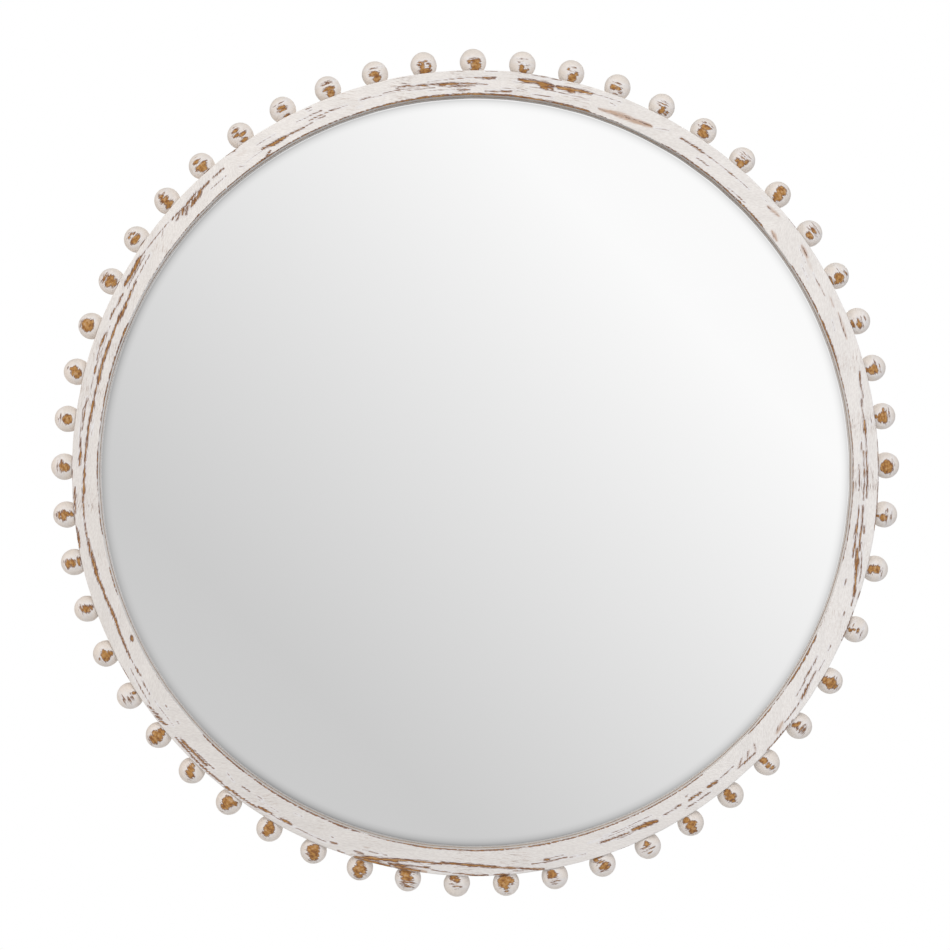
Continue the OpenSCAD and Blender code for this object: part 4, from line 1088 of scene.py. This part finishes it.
class MIRROR_OT_backing(bpy.types.Operator):
    """Finishes the backing board and the cushion sheet behind the glass"""

    bl_idname = "beaded_mirror.backing"
    bl_label = "Backing"

    def execute(self, context):
        finish = context.scene.beaded_mirror.finish
        dress_node("backing_board", pressed_board(finish))
        dress_node("cushion_sheet", grey_card(finish))
        return {"FINISHED"}


class MIRROR_OT_dowels(bpy.types.Operator):
    """Finishes the dowels inside the joints and under the balls"""

    bl_idname = "beaded_mirror.dowels"
    bl_label = "Dowels"

    def execute(self, context):
        beech = turned_beech(context.scene.beaded_mirror.finish)
        dress_node("joint_dowels", beech)
        dress_node("bead_dowels", beech)
        return {"FINISHED"}


def pan_screw(name, origin, node, settings, material, seed):
    """A pan-head screw, its cross recess pressed into a domed head, seated on its origin."""
    turn = np.linspace(0, TURN, 72, endpoint=False)
    sine, cosine = np.sin(turn), np.cos(turn)
    dome = 0.8 * settings.head
    reach = 0.27 * settings.head
    twist = np.random.default_rng(200 + seed).uniform(0, math.pi / 2)
    rings = []
    for radius in np.linspace(0.03, 1, 26) * settings.head / 2:
        x, y = radius * np.cos(turn - twist), radius * np.sin(turn - twist)
        arms = [
            np.clip((reach - abs(far)) / (0.35 * MM), 0, 1)
            * np.clip((settings.recess / 2 - abs(off)) / (0.2 * MM), 0, 1)
            for far, off in ((x, y), (y, x))
        ]
        height = settings.head_height - dome + math.sqrt(dome ** 2 - radius ** 2)
        rings.append((radius, height - 1.1 * MM * np.maximum(*arms)))
    foot = settings.shank / 2
    for radius, height in (
        (settings.head / 2, 0.2 * MM), (settings.head / 2 - 0.2 * MM, 0), (foot, 0),
        (foot, settings.shank - settings.shank_length), (foot / 8, -settings.shank_length),
    ):
        rings.append((radius, height * np.ones(len(turn))))
    points = np.vstack([np.stack((r * cosine, h, r * sine), -1) for r, h in rings])
    make_piece(
        name, points + np.array(origin), capped_rings(len(rings), len(turn)), material,
        replaced=(node,), crease=40,
    )


def turn_button(joint, settings, material):
    """A stamped steel tongue with a hole for its screw, its edges rounded by tumbling."""
    node = joint["child"]
    low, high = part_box(node)
    edge = settings.pressed_edge
    hole = settings.shank / 2 + 0.06 * MM
    half = settings.button_width / 2
    arc = np.linspace(-math.pi / 2, math.pi / 2, 25)
    heights = ((0, 1), (0.3, 0.3), (1, 0))
    sections = [(low.y + share * edge, inset * edge) for share, inset in heights]
    sections += [(high.y - share * edge, inset * edge) for share, inset in reversed(heights)]
    loops = []
    for y, inset in sections:
        size = half - inset
        far = np.stack((settings.button_reach - half + size * np.cos(arc), size * np.sin(arc)), -1)
        near = np.stack((-size * np.cos(arc), -size * np.sin(arc)), -1)
        loops.append((y, np.vstack((far, near))))
    middle = loops[0][1]
    ways = middle / np.hypot(*middle.T)[:, None]
    for y, inset in reversed(sections):
        loops.append((y, ways * (hole + inset)))
    points = np.vstack([np.insert(flat, 1, y, axis=1) for y, flat in loops])
    pivot = Vector(joint["pos_m"])
    angle = math.atan2(pivot.x, pivot.z)
    vertices = placed(points, (pivot.x, 0, pivot.z), -out_of(angle), (0, 1, 0), along(angle))
    faces = grid_faces(len(loops), len(middle), close_rows=True, close_columns=True)
    make_piece(
        node.replace("turn_button", "button_tongue"), vertices, faces, material,
        body=node, replaced=(node,), crease=30,
    )


def hanger_frame(joint):
    """The place on the ring's back under the bar's middle, the directions down the strap and
    along the bar, and how far the bar stands off the ring."""
    bar = Vector(joint["axis"])
    down = Vector((bar.z, 0, -bar.x))
    if down.z > 0:
        down = -down
    pivot = Vector(joint["pos_m"])
    return (pivot.x, Ring.back, pivot.z), down, bar, pivot.y - Ring.back


def hanger_strap(joint, settings, material):
    """A strip of steel folded round the bar of the ring, its two leaves closed on each other
    and pierced for the screws."""
    side = joint["name"].split("_")[2]
    node = f"hanger_strap_{side}"
    origin, down, bar, lift = hanger_frame(joint)
    sheet = settings.strap_sheet
    bend = lift - sheet / 2
    half = settings.button_width / 2
    arc = np.linspace(0, math.pi / 2, 13)
    ends = settings.strap_length - half * (1 - np.sin(arc))
    ends[-1] -= 0.01 * MM
    # Along the under leaf, round the bar, down the blend and back along the upper leaf
    under = [(x, sheet / 2, 0, 1) for x in (*ends[::-1], 20 * MM, 16 * MM, 8 * MM, 3 * MM)]
    round_bar = [
        (-bend * math.sin(t), lift - bend * math.cos(t), math.sin(t), math.cos(t))
        for t in np.linspace(0, math.radians(280), 37)
    ]
    last_x, last_y = round_bar[-1][:2]
    fillet = last_y - 1.5 * sheet
    blend = [
        (last_x + fillet * (1 - math.cos(t)), last_y - fillet * math.sin(t), -math.cos(t), -math.sin(t))
        for t in np.linspace(0.1, math.pi / 2, 8)
    ]
    upper = [(x, 1.5 * sheet, 0, -1) for x in (5 * MM, 8 * MM, 16 * MM, 20 * MM, *ends)]
    path = under + round_bar + blend + upper
    edge = 0.6 * settings.pressed_edge
    rows = []
    for x, y, normal_x, normal_y in path:
        past = max(x - settings.strap_length + half, 0)
        wide = math.sqrt(max(half ** 2 - past ** 2, 0)) + 0.02 * MM
        thick = sheet / 2 - 0.01 * MM
        for across, up in (
            (-wide, -thick + edge), (-wide, thick - edge), (-wide + edge, thick), (wide - edge, thick),
            (wide, thick - edge), (wide, -thick + edge), (wide - edge, -thick), (-wide + edge, -thick),
        ):
            rows.append((x + up * normal_x, y + up * normal_y, across))
    vertices = placed(rows, origin, down, (0, 1, 0), bar)
    strap = make_piece(
        node.replace("hanger_strap", "folded_strap"), vertices, capped_rings(len(path), 8), material,
        replaced=(node,), crease=30,
    )
    pierce(strap, [Vector(origin) + down * x * MM for x in STRAP_SCREWS], settings.shank / 2 + 0.1 * MM)


def pierce(piece, places, radius):
    """Punches round holes through a piece, square to the wall."""
    sides = 32
    turn = np.linspace(0, TURN, sides, endpoint=False)
    drill = bpy.data.meshes.new("drill")
    points, faces = [], []
    for number, place in enumerate(places):
        for y in (Ring.back - 2 * MM, -MM):
            points += [(place.x + radius * math.cos(t), y, place.z + radius * math.sin(t)) for t in turn]
        faces += [tuple(2 * sides * number + v for v in face) for face in capped_rings(2, sides)]
    drill.from_pydata(points, [], faces)
    tool = bpy.data.objects.new("drill", drill)
    bpy.context.scene.collection.objects.link(tool)
    cut = piece.modifiers.new("holes", "BOOLEAN")
    cut.operation = "DIFFERENCE"
    cut.solver = "EXACT"
    cut.object = tool
    bpy.context.view_layer.update()
    pierced = bpy.data.meshes.new_from_object(piece.evaluated_get(bpy.context.evaluated_depsgraph_get()))
    piece.modifiers.clear()
    piece.data = pierced
    bpy.data.objects.remove(tool)


class MIRROR_OT_hardware(bpy.types.Operator):
    """Builds the turn buttons, the hanger straps and their screws, and finishes the rings"""

    bl_idname = "beaded_mirror.hardware"
    bl_label = "Hardware"

    def execute(self, context):
        settings = context.scene.beaded_mirror.hardware
        steel = plated_steel(context.scene.beaded_mirror.finish)
        for number, joint in enumerate(SWIVELS):
            turn_button(joint, settings, steel)
            pivot = Vector(joint["pos_m"])
            seat = (pivot.x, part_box(joint["child"])[1].y + 0.1 * MM, pivot.z)
            pan_screw(f"button_screw_{number + 1}", seat, "turn_button_screws", settings, steel, number)
        number = 0
        for joint in FOLDS:
            hanger_strap(joint, settings, steel)
            dress_node(joint["child"], steel)
            origin, down = hanger_frame(joint)[:2]
            for x in STRAP_SCREWS:
                number += 1
                seat = Vector(origin) + down * x * MM + Vector((0, 2 * settings.strap_sheet + 0.1 * MM, 0))
                pan_screw(f"hanger_screw_{number}", seat, "hanger_screws", settings, steel, 20 + number)
        return {"FINISHED"}


def bumper_pad(node, material):
    """A moulded rubber foot: a soft-edged drum with a shallow dish in its face."""
    low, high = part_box(node)
    middle = (low + high) / 2
    wide, tall = (high.x - low.x) / 2, high.y - low.y
    soft = np.linspace(0, math.pi / 2, 7)
    profile = [(wide - 0.3 * MM, 0), (wide, 0.3 * MM), (wide, 0.55 * tall)]
    profile += [(wide - 1.2 * MM * (1 - math.cos(t)), tall - 1.2 * MM * (1 - math.sin(t))) for t in soft]
    profile += [(0.62 * wide, tall), (0.52 * wide, tall - 0.35 * MM), (0.1 * wide, tall - 0.5 * MM)]
    turn = np.linspace(0, TURN, 64, endpoint=False)
    points = [(r * math.cos(t), h, r * math.sin(t)) for r, h in profile for t in turn]
    make_piece(
        node.replace("bumper_pad", "rubber_foot"), np.array(points) + np.array((middle.x, low.y, middle.z)),
        capped_rings(len(profile), len(turn)), material, replaced=(node,),
    )


class MIRROR_OT_pads(bpy.types.Operator):
    """Builds the four rubber bumper pads"""

    bl_idname = "beaded_mirror.pads"
    bl_label = "Bumper pads"

    def execute(self, context):
        rubber = moulded_rubber(context.scene.beaded_mirror.finish)
        for node in sorted(name for name in frame["nodes"] if name.startswith("bumper_pad")):
            bumper_pad(node, rubber)
        return {"FINISHED"}


def studio_world():
    """A white studio that is plain white to look at. Towards the front it runs from grey at
    the lower left to white at the upper right, which is what the glass gives back."""
    world = bpy.data.worlds.new("soft_studio")
    bpy.context.scene.world = world
    world.use_nodes = True
    tree = world.node_tree
    tree.nodes.clear()
    way = add_node(tree, "ShaderNodeTexCoord").outputs["Generated"]
    split = add_node(tree, "ShaderNodeSeparateXYZ", {0: way}).outputs
    diagonal = add_node(tree, "ShaderNodeMath", {0: split["X"], 1: split["Z"]}, operation="ADD")
    ahead = add_node(tree, "ShaderNodeMath", {0: split["Y"], 1: -0.05}, operation="MINIMUM")
    slope = add_node(tree, "ShaderNodeMath", {0: diagonal, 1: ahead}, operation="DIVIDE")
    # Minus x + z over the distance ahead, as the glass gives it back between its two far ends
    corner = 0.181
    limits = {"From Min": corner, "From Max": -corner}
    upwards = add_node(tree, "ShaderNodeMapRange", {"Value": slope, **limits})
    graded = add_node(tree, "ShaderNodeMath", {0: upwards, 1: 1.1}, operation="POWER")
    graded = add_node(tree, "ShaderNodeMath", {0: graded, 1: 0.396, 2: 0.664}, operation="MULTIPLY_ADD")
    fronting = add_node(
        tree, "ShaderNodeMapRange", {"Value": split["Y"], "From Min": -0.75, "From Max": -0.92},
        interpolation_type="SMOOTHSTEP",
    )
    limits = {"From Min": -0.5, "From Max": 0.7, "To Min": 0.44, "To Max": 0.86}
    ceiling = add_node(tree, "ShaderNodeMapRange", {"Value": split["Z"], **limits})
    # Less light from behind the mirror keeps the rims of the balls soft
    limits = {"From Min": 0.5, "From Max": -0.3, "To Min": 0.5, "To Max": 1.0}
    ahead_share = add_node(
        tree, "ShaderNodeMapRange", {"Value": split["Y"], **limits}, interpolation_type="SMOOTHSTEP"
    )
    general = add_node(tree, "ShaderNodeMath", {0: ceiling, 1: ahead_share}, operation="MULTIPLY")
    tones = {0: fronting, NUMBER_A: general, NUMBER_B: graded}
    tone = add_node(tree, "ShaderNodeMix", tones, data_type="FLOAT")
    seen = add_node(tree, "ShaderNodeLightPath").outputs["Is Camera Ray"]
    shown = add_node(tree, "ShaderNodeMix", {0: seen, NUMBER_A: tone, NUMBER_B: 1.0}, data_type="FLOAT")
    lit = add_node(tree, "ShaderNodeBackground", {"Color": linear("#FFFFFF"), "Strength": shown})
    add_node(tree, "ShaderNodeOutputWorld", {"Surface": lit})


def studio_floor(settings):
    """A round, pale, matt floor, softened into the white of the studio."""
    sides = 96
    rims = (0.25, 0.5, 0.75, 1.0)
    vertices = []
    for share in rims:
        for turn in np.linspace(0, TURN, sides, endpoint=False):
            reach = share * settings.floor
            vertices.append((reach * math.cos(turn), reach * math.sin(turn), -settings.hang))
    faces = grid_faces(len(rims), sides, close_columns=True)
    faces.append(tuple(range(sides)))
    mesh = bpy.data.meshes.new("studio_floor")
    mesh.from_pydata(vertices, [], faces)
    floor = bpy.data.objects.new("studio_floor", mesh)
    bpy.context.scene.collection.objects.link(floor)
    material, shader, place = new_material("matt_studio_floor")
    tree = material.node_tree
    mottle(shader, place, 200 * MM, 4.0, ((0.3, linear("#E6E6E6")), (0.7, linear("#EEEEEE"))))
    feed(shader, {"Roughness": 0.9})
    glow = add_node(tree, "ShaderNodeEmission", {"Color": linear("#FFFFFF"), "Strength": 1.0})
    seen = add_node(tree, "ShaderNodeLightPath").outputs["Is Camera Ray"]
    reach = add_node(tree, "ShaderNodeVectorMath", {0: place}, operation="LENGTH")
    limits = {"From Min": 1.6, "From Max": 0.9 * settings.floor, "To Min": 0.85, "To Max": 1.0}
    fade = add_node(tree, "ShaderNodeMapRange", {"Value": reach, **limits}, interpolation_type="SMOOTHSTEP")
    share = add_node(tree, "ShaderNodeMath", {0: seen, 1: fade}, operation="MULTIPLY")
    mixed = add_node(tree, "ShaderNodeMixShader", {0: share, 1: shader, 2: glow})
    feed(next(node for node in tree.nodes if node.type == "OUTPUT_MATERIAL"), {"Surface": mixed})
    mesh.materials.append(material)


# Soft lights: the name, the place, aim and size in metres, the power setting, its share of that
# power and its colour
SOFTBOXES = (
    ("key_light", (0.2, -1.3, 1.0), (0.0, 0.0, 0.05), 0.7, "key", 1.0, "#FFFAF4"),
    ("left_light", (-1.5, -0.4, 0.05), (0.37, 0.0, 0.0), 0.6, "side", 3.2, "#FFEDDF"),
    ("right_light", (1.3, -1.1, -0.3), (-0.3, 0.0, 0.0), 0.9, "side", 2.2, "#E0EAFF"),
    ("back_light", (0.5, 1.8, 1.0), (0.0, 0.0, 0.0), 1.0, "back", 1.0, "#FFFFFF"),
)


def softbox(name, place, aim, size, watts, code):
    """A square, soft light that looks at a point and doesn't show in the glass."""
    data = bpy.data.lights.new(name, "AREA")
    data.shape = "SQUARE"
    data.size = size
    data.energy = watts
    data.color = linear(code)[:3]
    lamp = bpy.data.objects.new(name, data)
    lamp.location = place
    lamp.rotation_mode = "QUATERNION"
    lamp.rotation_quaternion = (Vector(aim) - Vector(place)).to_track_quat("-Z", "Y")
    lamp.visible_glossy = False
    bpy.context.scene.collection.objects.link(lamp)


def camera(settings):
    """The camera where the photograph was taken from, square to the wall."""
    data = bpy.data.cameras.new("camera")
    data.sensor_width = 36.0
    ball_plane = (Ring.front + Ring.back) / 2
    data.lens = data.sensor_width * (settings.distance + ball_plane) / settings.field
    data.clip_start = 0.05
    data.clip_end = 50.0
    view = bpy.data.objects.new("camera", data)
    view.location = (-settings.left, -settings.distance, -settings.below)
    aim = Vector((-settings.left, ball_plane, -settings.below))
    view.rotation_mode = "QUATERNION"
    view.rotation_quaternion = (aim - view.location).to_track_quat("-Z", "Y")
    bpy.context.scene.collection.objects.link(view)
    bpy.context.scene.camera = view


class MIRROR_OT_stage(bpy.types.Operator):
    """Sets up the pale floor, the soft studio light and the camera"""

    bl_idname = "beaded_mirror.stage"
    bl_label = "Studio"

    def execute(self, context):
        settings = context.scene.beaded_mirror.stage
        context.scene.view_settings.view_transform = "Standard"
        studio_world()
        studio_floor(settings)
        for name, place, aim, size, setting, share, code in SOFTBOXES:
            softbox(name, place, aim, size, share * settings.path_resolve(setting), code)
        camera(settings)
        return {"FINISHED"}


class MIRROR_PT_panel(bpy.types.Panel):
    """Lists the pieces of the mirror in the order that they are built"""

    bl_idname = "MIRROR_PT_panel"
    bl_label = "Beaded Mirror"
    bl_space_type = "VIEW_3D"
    bl_region_type = "UI"
    bl_category = "Beaded Mirror"

    def draw(self, context):
        settings = context.scene.beaded_mirror
        for group in (settings.ring, settings.balls, settings.hardware, settings.finish, settings.stage):
            box = self.layout.box()
            for name in group.bl_rna.properties.keys():
                if name not in ("rna_type", "name"):
                    box.prop(group, name)
        for operator in OPERATORS:
            self.layout.operator(operator.bl_idname)


OPERATORS = (
    MIRROR_OT_ring_arcs,
    MIRROR_OT_balls,
    MIRROR_OT_glass,
    MIRROR_OT_backing,
    MIRROR_OT_dowels,
    MIRROR_OT_hardware,
    MIRROR_OT_pads,
    MIRROR_OT_stage,
)
GROUPS = (RingSettings, BallSettings, HardwareSettings, FinishSettings, StageSettings, MirrorSettings)
CLASSES = GROUPS + OPERATORS + (MIRROR_PT_panel,)


def register():
    for kind in CLASSES:
        bpy.utils.register_class(kind)
    bpy.types.Scene.beaded_mirror = PointerProperty(type=MirrorSettings)


def unregister():
    del bpy.types.Scene.beaded_mirror
    for kind in reversed(CLASSES):
        bpy.utils.unregister_class(kind)


def main():
    register()
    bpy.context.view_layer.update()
    bpy.ops.beaded_mirror.ring_arcs()
    bpy.ops.beaded_mirror.balls()
    bpy.ops.beaded_mirror.glass()
    bpy.ops.beaded_mirror.backing()
    bpy.ops.beaded_mirror.dowels()
    bpy.ops.beaded_mirror.hardware()
    bpy.ops.beaded_mirror.pads()
    bpy.ops.beaded_mirror.stage()


if __name__ == "__main__":
    main()
